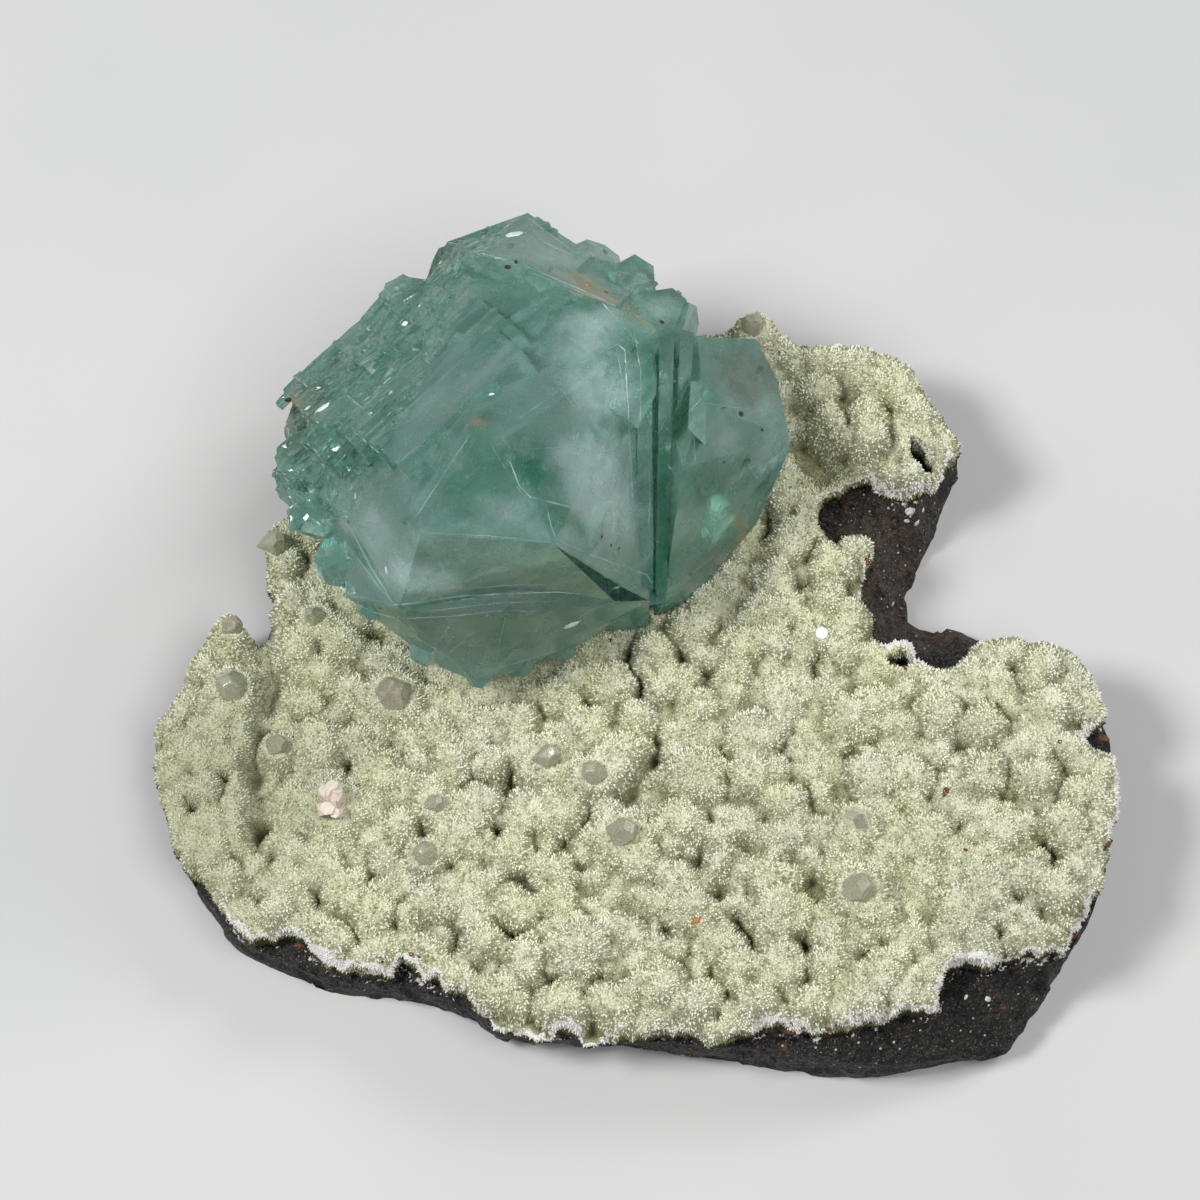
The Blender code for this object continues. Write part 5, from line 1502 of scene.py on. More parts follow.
@dataclass
class ApophylliteBall:
    """The intergrown crystals, with the small ones that step and stud their faces."""

    core: tuple[float, float, float] = (-13.97, 18.64, 30.0)
    small_count: int = 1100
    seed: int = 77
    pyramid_angle: float = math.radians(60.4)
    field_top: tuple[float, float] = (496.0, 240.0)
    field_slope: float = 0.54
    foot_pixel: float = 520.0
    back_facing: float = -0.22
    rim_facing: float = -0.62
    side_facing: float = 0.45
    terrace_run: tuple[float, float, float] = (16.0, 14.5, 3.0)
    terrace_slope: tuple[float, float, float] = (13.6, -13.6, 18.2)
    fine_edge: dict[Region, float] = field(default_factory=lambda: {
        Region.TERRACES: 0.62, Region.SMOOTH: 1.5, Region.FOOT: 1.4, Region.BACK: 2.2})
    step_width: float = 1.5
    step_depth: float = 0.19
    break_length: float = 2.7
    break_depth: float = 0.16
    step_wander: NoiseLayers = ((0.55, 3.6, 81), (0.22, 1.1, 82))
    break_wander: NoiseLayers = ((0.30, 1.7, 83),)
    tilt_spread: float = 0.10
    turned_share: float = 0.35
    smooth_keep: float = 0.10
    foot_keep: float = 0.02
    rim_clear: float = 0.05
    line_step: float = 5.0

    def __post_init__(self) -> None:
        """Work out the directions of the terraces."""
        run = Vector(self.terrace_run).normalized()
        slope = Vector(self.terrace_slope)
        slope = (slope - run * slope.dot(run)).normalized()
        rise = run.cross(slope)
        if rise.z < 0.0:
            rise.negate()
        self.terrace = Matrix((run, slope, rise)).transposed().to_4x4()
        self.tree: BVHTree | None = None

    def regions(self, points: np.ndarray, normals: np.ndarray) -> list[Region]:
        """What grows on places of the ball's surface, given in millimetres.

        Args:
            points: one row for each place.
            normals: the surface's directions there.

        Returns:
            One region for each place.
        """
        found = []
        facing = normals @ np.array(PhotoView.back())
        for (u, v), front in zip(PhotoView.pixels(points), facing):
            if v > self.foot_pixel:
                found.append(Region.FOOT)
            elif front < self.back_facing:
                found.append(Region.BACK)
            elif u < self.field_top[0] - (v - self.field_top[1]) * self.field_slope:
                found.append(Region.TERRACES)
            else:
                found.append(Region.SMOOTH)
        return found

    @staticmethod
    def block(half: Sequence[float], turn: Matrix) -> BMesh:
        """A small block of growth.

        Args:
            half: its half sizes.
            turn: its place and turn.

        Returns:
            The block.
        """
        bm = bmesh.new()
        bmesh.ops.create_cube(bm, size=2.0)
        bmesh.ops.scale(bm, vec=half, verts=bm.verts)
        bmesh.ops.transform(bm, matrix=turn, verts=bm.verts)
        return bm

    def pyramid(self, half: float, turn: Matrix) -> BMesh:
        """A small square crystal with a blunt four-sided tip at its origin.

        Args:
            half: half its width.
            turn: its place and turn.

        Returns:
            The crystal.
        """
        bm = bmesh.new()
        bmesh.ops.create_cube(bm, size=1.0)
        bmesh.ops.scale(bm, vec=(2.0 * half, 2.0 * half, 4.0 * half), verts=bm.verts)
        bmesh.ops.translate(bm, vec=(0.0, 0.0, -2.0 * half), verts=bm.verts)
        for quarter in range(4):
            angle = math.pi / 4.0 + quarter * math.pi / 2.0
            out = Vector((math.cos(angle), math.sin(angle), 0.0))
            normal = out * math.sin(self.pyramid_angle) + Vector((0.0, 0.0, math.cos(self.pyramid_angle)))
            cut = bmesh.ops.bisect_plane(bm, geom=bm.verts[:] + bm.edges[:] + bm.faces[:], dist=1e-5,
                                         plane_co=out * 0.3 * half, plane_no=normal, clear_outer=True)
            rim = [e for e in cut["geom_cut"] if isinstance(e, BMEdge)]
            bmesh.ops.edgeloop_fill(bm, edges=rim)
        bmesh.ops.transform(bm, matrix=turn, verts=bm.verts)
        return bm

    def small_solid(self, kind: Region, spot: Vector, normal: Vector,
                    rng: random.Random) -> BMesh | None:
        """One small crystal for a place of the surface, or nothing.

        Args:
            kind: what grows there.
            spot: the place, in millimetres.
            normal: the surface's direction there.
            rng: the source of its size and turn.

        Returns:
            The crystal, in millimetres.
        """
        size = rng.random()
        tilt = (Matrix.Rotation(rng.gauss(0.0, self.tilt_spread), 4, "X")
                @ Matrix.Rotation(rng.gauss(0.0, self.tilt_spread), 4, "Y"))
        keep = rng.random()
        if kind is Region.TERRACES:
            half = (0.7 + 2.2 * size * size, 0.4 + 0.8 * rng.random(), 0.25 + 0.35 * rng.random())
            if rng.random() < self.turned_share:
                half = (half[1], half[0], half[2])
            if normal.dot(PhotoView.back()) < self.side_facing:
                half = tuple(0.5 * h for h in half)
            sunk = spot - normal * (0.45 + 0.5 * rng.random()) * half[2]
            return self.block(half, Matrix.Translation(sunk) @ self.terrace @ tilt)
        if kind is Region.SMOOTH:
            if keep > self.smooth_keep:
                return None
            half = (0.3 + 0.5 * size, 0.25 + 0.3 * rng.random(), 0.22)
            return self.block(half, Matrix.Translation(spot - normal * 0.17) @ self.terrace @ tilt)
        if kind is Region.FOOT and keep > self.foot_keep:
            return None
        half = 1.4 + 2.6 * size if kind is Region.BACK else 0.8 + 1.2 * size
        share = 0.25 + 0.45 * rng.random() if kind is Region.BACK else 0.03 + 0.10 * rng.random()
        if kind is Region.BACK and normal.dot(PhotoView.back()) > self.rim_facing:
            half, share = 0.5 * half, 0.4 * share
        outward = (spot - Vector(self.core)).normalized()
        axis = (outward * 0.6 + normal * 0.7).normalized()
        turn = axis.to_track_quat("Z", "Y").to_matrix().to_4x4()
        roll = Matrix.Rotation(rng.uniform(0.0, 1.57), 4, "Z")
        return self.pyramid(half, Matrix.Translation(spot + normal * share * half) @ turn @ roll @ tilt)

    def small_solids(self, base: Mesh) -> Collection:
        """Small crystals seeded over the ball's surface, as solids to join.

        Args:
            base: the ball's mesh.

        Returns:
            The crystals, in a collection.
        """
        rng = random.Random(self.seed)
        base.calc_loop_triangles()
        triangles = list(base.loop_triangles)
        chosen = rng.choices(triangles, weights=[t.area for t in triangles], k=self.small_count)
        spots, normals = [], []
        for triangle in chosen:
            a, b, c = (base.vertices[i].co for i in triangle.vertices)
            s, t = rng.random(), rng.random()
            if s + t > 1.0:
                s, t = 1.0 - s, 1.0 - t
            spots.append((a + (b - a) * s + (c - a) * t) / MM)
            normals.append(triangle.normal.copy())
        kinds = self.regions(rows_of(spots), rows_of(normals))
        low, high = CAD_BOX[0] / MM, CAD_BOX[1] / MM
        group = bpy.data.collections.new("small_crystals")
        for number, (kind, spot, normal) in enumerate(zip(kinds, spots, normals)):
            bm = self.small_solid(kind, spot, normal, rng)
            if bm is None:
                continue
            ends = [v.co for v in bm.verts]
            rim = self.rim_clear
            fits = all(low[i] + rim < e[i] < high[i] - rim for e in ends for i in range(3))
            clear = min(e.z for e in ends) > LEVEL_AT_MIDDLE + LEVEL_RISE * spot.x - 1.0
            if fits and clear:
                bmesh.ops.scale(bm, vec=(MM, MM, MM), verts=bm.verts)
                bmesh.ops.triangulate(bm, faces=bm.faces)
                bmesh.ops.recalc_face_normals(bm, faces=bm.faces)
                mesh = bpy.data.meshes.new(f"small_{number}")
                bm.to_mesh(mesh)
                group.objects.link(bpy.data.objects.new(mesh.name, mesh))
            bm.free()
        return group

    def joined(self) -> Mesh:
        """The CAD ball with the small crystals joined to it.

        Returns:
            The new mesh.
        """
        base = merged_copy("apophyllite_cluster")
        group = self.small_solids(base)
        bpy.context.scene.collection.children.link(group)
        carrier = bpy.data.objects.new("ball_carrier", base)
        bpy.context.scene.collection.objects.link(carrier)
        union = carrier.modifiers.new("union", "BOOLEAN")
        union.operation = "UNION"
        union.operand_type = "COLLECTION"
        union.collection = group
        union.solver = "MANIFOLD"
        graph = bpy.context.evaluated_depsgraph_get()
        mesh = bpy.data.meshes.new_from_object(carrier.evaluated_get(graph))
        mesh.name = "apophyllite_crystals"
        for solid in list(group.objects):
            bpy.data.objects.remove(solid, do_unlink=True)
        bpy.data.collections.remove(group)
        bpy.data.objects.remove(carrier, do_unlink=True)
        return mesh

    def cut_small(self, bm: BMesh) -> None:
        """Cut the faces until each is as small as its region asks.

        Args:
            bm: the crystals' mesh.
        """
        for _ in range(9):
            coarse = [e for e in bm.edges if e.calc_length() > 1.4 * self.fine_edge[Region.TERRACES] * MM]
            middle = rows_of((e.verts[0].co + e.verts[1].co) / 2.0 for e in coarse) / MM
            normals = rows_of(e.link_faces[0].normal for e in coarse)
            kinds = self.regions(middle, normals)
            long = [e for e, kind in zip(coarse, kinds) if e.calc_length() > 1.4 * self.fine_edge[kind] * MM]
            if not long:
                break
            bmesh.ops.subdivide_edges(bm, edges=long, cuts=1)
            bmesh.ops.triangulate(bm, faces=[f for f in bm.faces if len(f.verts) > 3])

    def steps(self, points: np.ndarray) -> np.ndarray:
        """How far the growth steps lie below the terraces' faces.

        Args:
            points: one row for each place.

        Returns:
            One depth for each place.
        """
        run, slope = (np.array(self.terrace.col[i][:3]) for i in range(2))
        across = points @ slope + noise_sum(points, self.step_wander)
        along = points @ run + noise_sum(points, self.break_wander)
        row = np.floor(across / self.step_width)
        share = across / self.step_width - row
        shift = scattered(row * 12.9898, 43758.5453)
        column = np.floor(along / self.break_length + 3.0 * shift)
        depth = scattered(row * 78.233 + column * 37.719, 12543.123)
        return self.step_depth * (1.0 - share) + self.break_depth * depth

    def build(self) -> Object:
        """The finished crystals, as one piece.

        Returns:
            The new piece.
        """
        mesh = self.joined()
        bm = bmesh.new()
        bm.from_mesh(mesh)
        bmesh.ops.remove_doubles(bm, verts=bm.verts, dist=0.01 * MM)
        bmesh.ops.dissolve_degenerate(bm, edges=bm.edges, dist=0.01 * MM)
        bmesh.ops.triangulate(bm, faces=bm.faces)
        bm.normal_update()
        self.cut_small(bm)
        bm.normal_update()
        points = rows_of(v.co for v in bm.verts) / MM
        normals = rows_of(v.normal for v in bm.verts)
        terraced = np.array([kind is Region.TERRACES for kind in self.regions(points, normals)])
        sunk = self.steps(points) * terraced
        for vertex, depth in zip(bm.verts, sunk):
            vertex.co -= vertex.normal * float(depth) * MM
        bm.to_mesh(mesh)
        bm.free()
        mesh.shade_flat()
        pixels = PhotoView.pixels(points)
        pixels = pixels + 9.0 * np.stack([value_noise(points, 3.0, 84), value_noise(points, 3.0, 85)], axis=1)
        for kind, marks in MARKS.items():
            store(mesh, kind, np.max([mark.weight(pixels) for mark in marks], axis=0))
        self.tree = tree_of(mesh)
        piece = new_piece("apophyllite_crystals", mesh, ApophylliteFinish().material())
        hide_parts("apophyllite_cluster")
        return piece

    def growth_highlight_lines(self) -> Object:
        """Bright edges and healed cracks, as slender pale ridges on the crystals' faces that stand in for the
        edges' highlights.

        Returns:
            The new piece.
        """
        start, back = PhotoView.place(), PhotoView.back()
        total = bmesh.new()
        for number, line in enumerate(GROWTH_HIGHLIGHT_LINES):
            pixels = []
            for (u0, v0), (u1, v1) in zip(line.pixels, line.pixels[1:]):
                pieces = max(1, round(math.hypot(u1 - u0, v1 - v0) / self.line_step))
                pixels += [(u0 + (u1 - u0) * k / pieces, v0 + (v1 - v0) * k / pieces) for k in range(pieces)]
            pixels.append(line.pixels[-1])
            spots = [self.tree.ray_cast(start, PhotoView.ray(u, v))[:2] for u, v in pixels]
            spots = [spot for spot in spots if spot[0] is not None]
            if len(spots) < 3:
                continue
            places = rows_of(spot[0] for spot in spots) / MM
            swell = 0.75 + 0.45 * value_noise(places, 1.3, 400 + number)
            loops = []
            for index, (place, normal) in enumerate(spots):
                run = spots[min(index + 1, len(spots) - 1)][0] - spots[max(index - 1, 0)][0]
                side = run.cross(normal)
                if side.length < 1e-9:
                    side = run.orthogonal()
                side.normalize()
                ends = index in (0, len(spots) - 1)
                half = line.width * (0.15 if ends else float(swell[index])) * MM
                low = normal * 0.12 * MM
                corners = (place + side * half - low, place + normal * 0.35 * half,
                           place - side * half - low, place - normal * half - low)
                loops.append([total.verts.new(corner) for corner in corners])
            for one, other in zip(loops, loops[1:]):
                for k in range(4):
                    total.faces.new((one[k], one[(k + 1) % 4], other[(k + 1) % 4], other[k]))
            total.faces.new(loops[0][::-1])
            total.faces.new(loops[-1])
        bmesh.ops.triangulate(total, faces=total.faces)
        bmesh.ops.recalc_face_normals(total, faces=total.faces)
        mesh = bpy.data.meshes.new("apophyllite_ridge_highlights")
        total.to_mesh(mesh)
        total.free()
        return new_piece(mesh.name, mesh, RidgeHighlightFinish().material())

    def holds(self, point: Vector, margin: float) -> bool:
        """Whether a place lies inside the crystals, at least a margin from their faces."""
        found, normal, _, away = self.tree.find_nearest(point)
        return away > margin and (point - found).dot(normal) < 0.0

    def veils(self) -> Object:
        """The inner sheets, clipped to the inside of the crystals.

        Returns:
            The new piece.
        """
        points, faces, covers = [], [], []
        right, up = PhotoView.axes()
        for number, veil in enumerate(VEILS):
            ray = PhotoView.ray(veil.u, veil.v)
            hit = self.tree.ray_cast(PhotoView.place(), ray)[0]
            if hit is None:
                LOG.info("veil %d misses the ball", number)
                continue
            middle = hit + ray * veil.depth * MM
            turn = Matrix.Rotation(math.radians(-veil.turn), 3, PhotoView.back())
            across = turn @ right
            along = turn @ up
            lean = Matrix.Rotation(math.radians(veil.lean), 3, along)
            across = lean @ across
            normal = across.cross(along)
            columns = max(4, int(veil.half_width * 3.0))
            rows = max(4, int(veil.half_height * 3.0))
            start = len(points)
            grid = []
            for i in range(columns + 1):
                for j in range(rows + 1):
                    s, t = 2.0 * i / columns - 1.0, 2.0 * j / rows - 1.0
                    bow = veil.bend * (math.sin(2.1 * s + number) * math.cos(1.7 * t - number) + 0.4 * s * t)
                    offset = across * s * veil.half_width + along * t * veil.half_height + normal * bow
                    grid.append(middle + offset * MM)
                    edge = max(0.0, 1.0 - s * s) * max(0.0, 1.0 - t * t)
                    covers.append(veil.cover * min(1.0, 1.8 * edge))
            held = [self.holds(p, 0.3 * MM) for p in grid]
            points += grid
            for i in range(columns):
                for j in range(rows):
                    corners = (i * (rows + 1) + j, (i + 1) * (rows + 1) + j,
                               (i + 1) * (rows + 1) + j + 1, i * (rows + 1) + j + 1)
                    if all(held[c] for c in corners):
                        faces.append([start + c for c in corners])
        mesh = mesh_from("apophyllite_veils", rows_of(points) / MM, faces)
        store(mesh, "cover", np.array(covers))
        bm = bmesh.new()
        bm.from_mesh(mesh)
        bmesh.ops.delete(bm, geom=[v for v in bm.verts if not v.link_faces], context="VERTS")
        bm.to_mesh(mesh)
        bm.free()
        mesh.shade_smooth()
        return new_piece("apophyllite_veils", mesh, VeilFinish().material())


@dataclass(frozen=True)
class BasaltFinish:
    """Dark granular basalt with brown and pale specks, lighter on the wall of the notch."""

    name: str = "basalt"
    dark: Colour = (0.006, 0.006, 0.006)
    grey: Colour = (0.026, 0.024, 0.022)
    brown: Colour = (0.085, 0.042, 0.022)
    wall: Colour = (0.075, 0.052, 0.038)
    pale: Colour = (0.62, 0.60, 0.56)
    notch: tuple[float, float, float] = (33.0, 15.0, 8.0)

    def material(self) -> Material:
        """Build the material.

        Returns:
            The material.
        """
        recipe = Recipe(self.name)
        grains = recipe.cells(0.55)
        mottle = recipe.noise(0.9, 4.0, 0.7)
        colour = recipe.blend(recipe.band(mottle, 0.42, 0.64), self.dark, self.grey)
        wall = recipe.math("MULTIPLY", recipe.near(self.notch, 6.0, 15.0), recipe.band(mottle, 0.34, 0.62))
        colour = recipe.blend(recipe.math("MULTIPLY", wall, 0.75), colour, self.wall)
        rusty = recipe.band(recipe.noise(3.2, 3.0, 0.7), 0.58, 0.70, 0.0, 0.8)
        colour = recipe.blend(rusty, colour, self.brown)
        colour = recipe.blend(recipe.band(recipe.cells(1.5), 0.13, 0.07, 0.0, 0.8), colour, self.pale)
        dust = recipe.band(recipe.noise(0.22, 2.0, 0.7), 0.62, 0.74, 0.0, 0.55)
        colour = recipe.blend(dust, colour, self.pale)
        chips = recipe.band(recipe.noise(0.6, 3.0, 0.7), 0.3, 0.7, -0.45, 0.45)
        chalky = recipe.band(recipe.math("ADD", recipe.attribute("chalk"), chips), 0.48, 0.56)
        colour = recipe.blend(chalky, colour, self.pale)
        normal = recipe.bump(recipe.noise(0.3, 2.0, 0.7), 0.2, 1.0, recipe.bump(grains, 0.3, 0.9))
        shine = recipe.band(recipe.noise(0.35, 2.0), 0.4, 0.7, 0.75, 0.38)
        return recipe.finish(Base_Color=colour, Roughness=shine, Specular_IOR_Level=0.4, Normal=normal)


@dataclass
class BasaltSlab:
    """The stone under the crust: a broken, granular slab that stands on a flat underside."""

    plan: CrustPlan
    fine_edge: float = 0.85
    hidden_by: float = 3.4
    chip_gap: float = 3.4
    chip_tilt: float = 0.34
    chip_depth: float = 0.55
    rise: float = 0.22
    patch_rise: float = 2.5
    grain: NoiseLayers = ((0.22, 1.1, 95), (0.14, 0.55, 96))
    chalk_width: float = 1.2
    chalk_from: float = 0.72
    seed: int = 91

    def covered(self, points: np.ndarray, margin: float) -> np.ndarray:
        """Which places of the plan the crust covers, by more than a margin.

        Args:
            points: one row of x and y for each place.
            margin: distance in from the rim.

        Returns:
            True for each covered place.
        """
        under = inside(points, self.plan.edge) & (ring_distance(points, self.plan.edge) > margin)
        for hole in self.plan.holes:
            under &= ~(inside(points, hole) | (ring_distance(points, hole) < 1.0))
        return under

    def refined(self) -> BMesh:
        """The CAD slab with its visible faces cut small.

        Returns:
            The finer mesh.
        """
        bm = bmesh.new()
        bm.from_mesh(merged_copy("basalt_matrix"))
        bmesh.ops.triangulate(bm, faces=bm.faces)
        for _ in range(8):
            edges = [e for e in bm.edges if e.calc_length() > 1.4 * self.fine_edge * MM
                     and not all(abs(f.normal.z) > 0.9 and f.normal.z < 0.0 for f in e.link_faces)]
            middle = rows_of((e.verts[0].co + e.verts[1].co) / 2.0 for e in edges) / MM
            if not len(middle):
                break
            flat = np.array([all(f.normal.z > 0.9 for f in e.link_faces) for e in edges])
            hidden = self.covered(middle[:, :2] - PLAN_SHIFT, self.hidden_by) & flat
            long = [e for e, skip in zip(edges, hidden) if not skip]
            if not long:
                break
            bmesh.ops.subdivide_edges(bm, edges=long, cuts=1)
            bmesh.ops.triangulate(bm, faces=bm.faces)
        return bm

    def chipped(self, points: np.ndarray) -> np.ndarray:
        """Heights of a surface broken in small flat facets, between 0 and 1.

        Args:
            points: one row for each place.

        Returns:
            One height for each place.
        """
        rng = np.random.default_rng(self.seed)
        low, high = points.min(axis=0), points.max(axis=0)
        count = int(np.prod((high - low) / self.chip_gap)) + 8
        seeds = rng.uniform(low, high, (count, 3))
        tilts = rng.normal(0.0, self.chip_tilt, (count, 3))
        levels = rng.uniform(0.2, 0.8, count)
        finder = KDTree(count)
        for index, place in enumerate(seeds):
            finder.insert(place, index)
        finder.balance()
        warp = 0.5 * np.stack([value_noise(points, 1.6, 92 + k) for k in range(3)], axis=1)
        value = np.empty(len(points))
        for row, point in enumerate(points + warp):
            index = finder.find(point)[1]
            value[row] = levels[index] + tilts[index] @ (point - seeds[index])
        return np.clip(value, 0.0, 1.0)

    def build(self) -> Object:
        """The finished stone.

        Returns:
            The new piece.
        """
        bm = self.refined()
        bm.normal_update()
        bm.verts.ensure_lookup_table()
        points = rows_of(v.co for v in bm.verts) / MM
        normals = rows_of(v.normal for v in bm.verts)
        base = points[:, 2] < 0.05
        chips = self.chipped(points)
        grain = sum((0.5 + 0.5 * value_noise(points, size, seed)) * rise for rise, size, seed in self.grain)
        depth = self.chip_depth * chips + grain
        upper = normals[:, 2] > 0.75
        depth[upper] *= 0.6
        normals[base, 2] = 0.0
        moved = points - normals * depth[:, None]
        plan = points[:, :2] - PLAN_SHIFT
        under = self.covered(plan, 0.0) & (normals[:, 2] > 0.3)
        moved[under, 2] = points[under, 2] + self.rise - 0.3 * depth[under]
        for hole in self.plan.holes:
            held = inside(plan, hole) & (normals[:, 2] > 0.5)
            share = np.clip(ring_distance(plan[held], hole) / 1.1, 0.0, 1.0)
            moved[held, 2] += self.patch_rise * share
        moved[base, 2] = 0.0
        for vertex, place in zip(bm.verts, moved):
            vertex.co = Vector(place) * MM
        bmesh.ops.recalc_face_normals(bm, faces=bm.faces)
        mesh = bpy.data.meshes.new("basalt_stone")
        bm.to_mesh(mesh)
        bm.free()
        rim = np.clip(1.0 - np.abs(ring_distance(plan, self.plan.edge)) / self.chalk_width, 0.0, 1.0)
        crust_foot = np.maximum(self.plan.level(plan[:, 0]) - CRUST_DEPTH, 0.5)
        high = np.clip(moved[:, 2] / crust_foot - self.chalk_from, 0.0, 1.0) * 3.5
        speckled = np.clip(0.5 + 1.4 * value_noise(points, 0.9, 97), 0.0, 1.0)
        store(mesh, "chalk", np.clip(rim * high * speckled, 0.0, 1.0) * chalk_share(plan))
        mesh.shade_smooth()
        piece = new_piece("basalt_stone", mesh, BasaltFinish().material())
        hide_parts("basalt_matrix")
        return piece


@dataclass(frozen=True)
class GlassyFinish:
    """Clear to pale olive crystal of the small singles on the crust."""

    name: str
    colour: Colour = (0.70, 0.71, 0.55)
    clear: float = 0.62

    def material(self) -> Material:
        """Build the material.

        Returns:
            The material.
        """
        recipe = Recipe(self.name)
        veil = recipe.band(recipe.noise(0.9, 3.0, 0.6), 0.42, 0.62)
        colour = recipe.blend(veil, self.colour, (0.66, 0.66, 0.50))
        rough = recipe.band(recipe.noise(0.6, 2.0), 0.3, 0.7, 0.12, 0.45)
        normal = recipe.bump(recipe.noise(0.5, 3.0, 0.6), 0.06, 0.5)
        recipe.absorb(self.colour, 120.0)
        return recipe.finish(Base_Color=colour, Roughness=rough, Transmission_Weight=self.clear, IOR=1.535,
                             Normal=normal)


@dataclass(frozen=True)
class BladeFinish:
    """Pearly surface of the stilbite bud or of the white flake."""

    name: str
    colour: Colour
    shade: Colour
    stripe: float = 0.5

    def material(self) -> Material:
        """Build the material.

        Returns:
            The material.
        """
        recipe = Recipe(self.name)
        blades = recipe.noise(self.stripe, 3.0, 0.6, 0.2, recipe.turned((20.0, 0.0, 30.0), (1.0, 0.3, 1.0)))
        colour = recipe.blend(recipe.band(blades, 0.35, 0.65), self.shade, self.colour)
        return recipe.finish(Base_Color=colour, Roughness=0.34, Specular_IOR_Level=0.6,
                             Normal=recipe.bump(blades, 0.08, 0.7))


@dataclass
class SmallCrystals:
    """The singles, the bud and the flake that sit on the crust, with worn edges."""

    worn: float = 0.32
    bite: float = 0.10
    brown: tuple[str, ...] = ("glassy_crystal_05", "glassy_crystal_01")
    names: dict[str, str] = field(default_factory=lambda: {"stilbite_bud": "stilbite_sheaf",
                                                           "white_flake": "white_blade"})

    def worn_copy(self, node: str, cuts: int) -> Mesh:
        """The CAD solid with its edges taken off, and its faces cut further if asked.

        Args:
            node: name of the CAD node.
            cuts: how often its faces are cut.

        Returns:
            The new mesh.
        """
        mesh = merged_copy(node)
        bm = bmesh.new()
        bm.from_mesh(mesh)
        bmesh.ops.dissolve_limit(bm, angle_limit=0.02, verts=bm.verts, edges=bm.edges)
        sharp = [e for e in bm.edges if e.is_manifold and e.calc_face_angle(0.0) > 0.3]
        bmesh.ops.bevel(bm, geom=sharp, offset=self.worn * MM, offset_type="OFFSET", segments=3, profile=0.55,
                        affect="EDGES", clamp_overlap=True)
        bmesh.ops.triangulate(bm, faces=bm.faces)
        for _ in range(cuts):
            bmesh.ops.subdivide_edges(bm, edges=bm.edges, cuts=1, use_grid_fill=True)
            bmesh.ops.triangulate(bm, faces=bm.faces)
        bm.normal_update()
        points = rows_of(v.co for v in bm.verts) / MM
        if cuts:
            for vertex, bite in zip(bm.verts, 0.5 + 0.5 * value_noise(points, 0.5, 71)):
                vertex.co -= vertex.normal * float(bite) * self.bite * MM
            for _ in range(3):
                bmesh.ops.smooth_vert(bm, verts=bm.verts, factor=0.5, use_axis_x=True, use_axis_y=True,
                                      use_axis_z=True)
        bmesh.ops.recalc_face_normals(bm, faces=bm.faces)
        bm.to_mesh(mesh)
        bm.free()
        if cuts:
            mesh.shade_smooth()
        return mesh

    def build(self) -> None:
        """All of them, each in place of its own solid."""
        clear = GlassyFinish("clear_crystal").material()
        brown = GlassyFinish("brown_crystal", (0.50, 0.45, 0.35), 0.5).material()
        pink = BladeFinish("stilbite", (0.78, 0.70, 0.62), (0.66, 0.56, 0.48)).material()
        white = BladeFinish("white_blade", (0.93, 0.93, 0.91), (0.78, 0.80, 0.78)).material()
        for node in list(frame["nodes"]):
            if node.startswith("glassy_crystal"):
                material = brown if node in self.brown else clear
                name = node.replace("glassy_", "worn_")
                piece = new_piece(name, self.worn_copy(node, 0), material)
            elif node == "stilbite_bud":
                piece = new_piece(self.names[node], self.worn_copy(node, 2), pink)
            elif node == "white_flake":
                piece = new_piece(self.names[node], self.worn_copy(node, 1), white)
            else:
                continue
            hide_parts(node)


@dataclass(frozen=True)
class Speck:
    """A mineral speck or a painted glint under a pixel of the photograph, with its half sizes in millimetres.
    """

    u: float
    v: float
    long: float
    short: float
    turn: float = 0.0


RUST_SPECKS = [
    Speck(652, 1037, 1.3, 0.45), Speck(785, 1031, 1.6, 0.5), Speck(827, 1029, 0.7, 0.4),
    Speck(946, 791, 0.7, 0.4, 60), Speck(945, 971, 0.8, 0.5), Speck(1004, 957, 0.7, 0.4),
    Speck(1074, 936, 0.7, 0.5), Speck(1104, 738, 0.9, 0.5), Speck(1107, 846, 0.9, 0.5, 80),
    Speck(948, 414, 0.8, 0.5, 50), Speck(868, 560, 0.9, 0.4, 80), Speck(862, 600, 0.7, 0.35, 80),
    Speck(884, 640, 0.8, 0.4), Speck(905, 668, 0.6, 0.4), Speck(412, 955, 0.6, 0.4),
    Speck(300, 946, 0.7, 0.35), Speck(610, 640, 0.35, 0.3), Speck(1060, 742, 0.35, 0.3),
    Speck(965, 850, 0.4, 0.25),
]
ORANGE_SPECKS = [Speck(697, 920, 0.75, 0.5, 40.0), Speck(588, 285, 0.4, 0.3), Speck(744, 1035, 0.4, 0.3)]
DARK_SPECKS = [
    Speck(404, 958, 0.35, 0.2), Speck(412, 963, 0.4, 0.3), Speck(419, 957, 0.3, 0.2),
    Speck(397, 967, 0.25, 0.2), Speck(382, 962, 0.25, 0.2), Speck(921, 1023, 0.4, 0.3),
    Speck(508, 267, 0.5, 0.3), Speck(516, 262, 0.3, 0.25), Speck(741, 414, 0.5, 0.35, 30),
    Speck(762, 430, 0.25, 0.2), Speck(602, 537, 0.25, 0.2), Speck(611, 545, 0.2, 0.2),
    Speck(619, 548, 0.25, 0.2), Speck(288, 400, 0.4, 0.25), Speck(296, 422, 0.3, 0.2),
    Speck(662, 322, 0.35, 0.25), Speck(724, 462, 0.2, 0.2), Speck(606, 292, 0.3, 0.2),
]
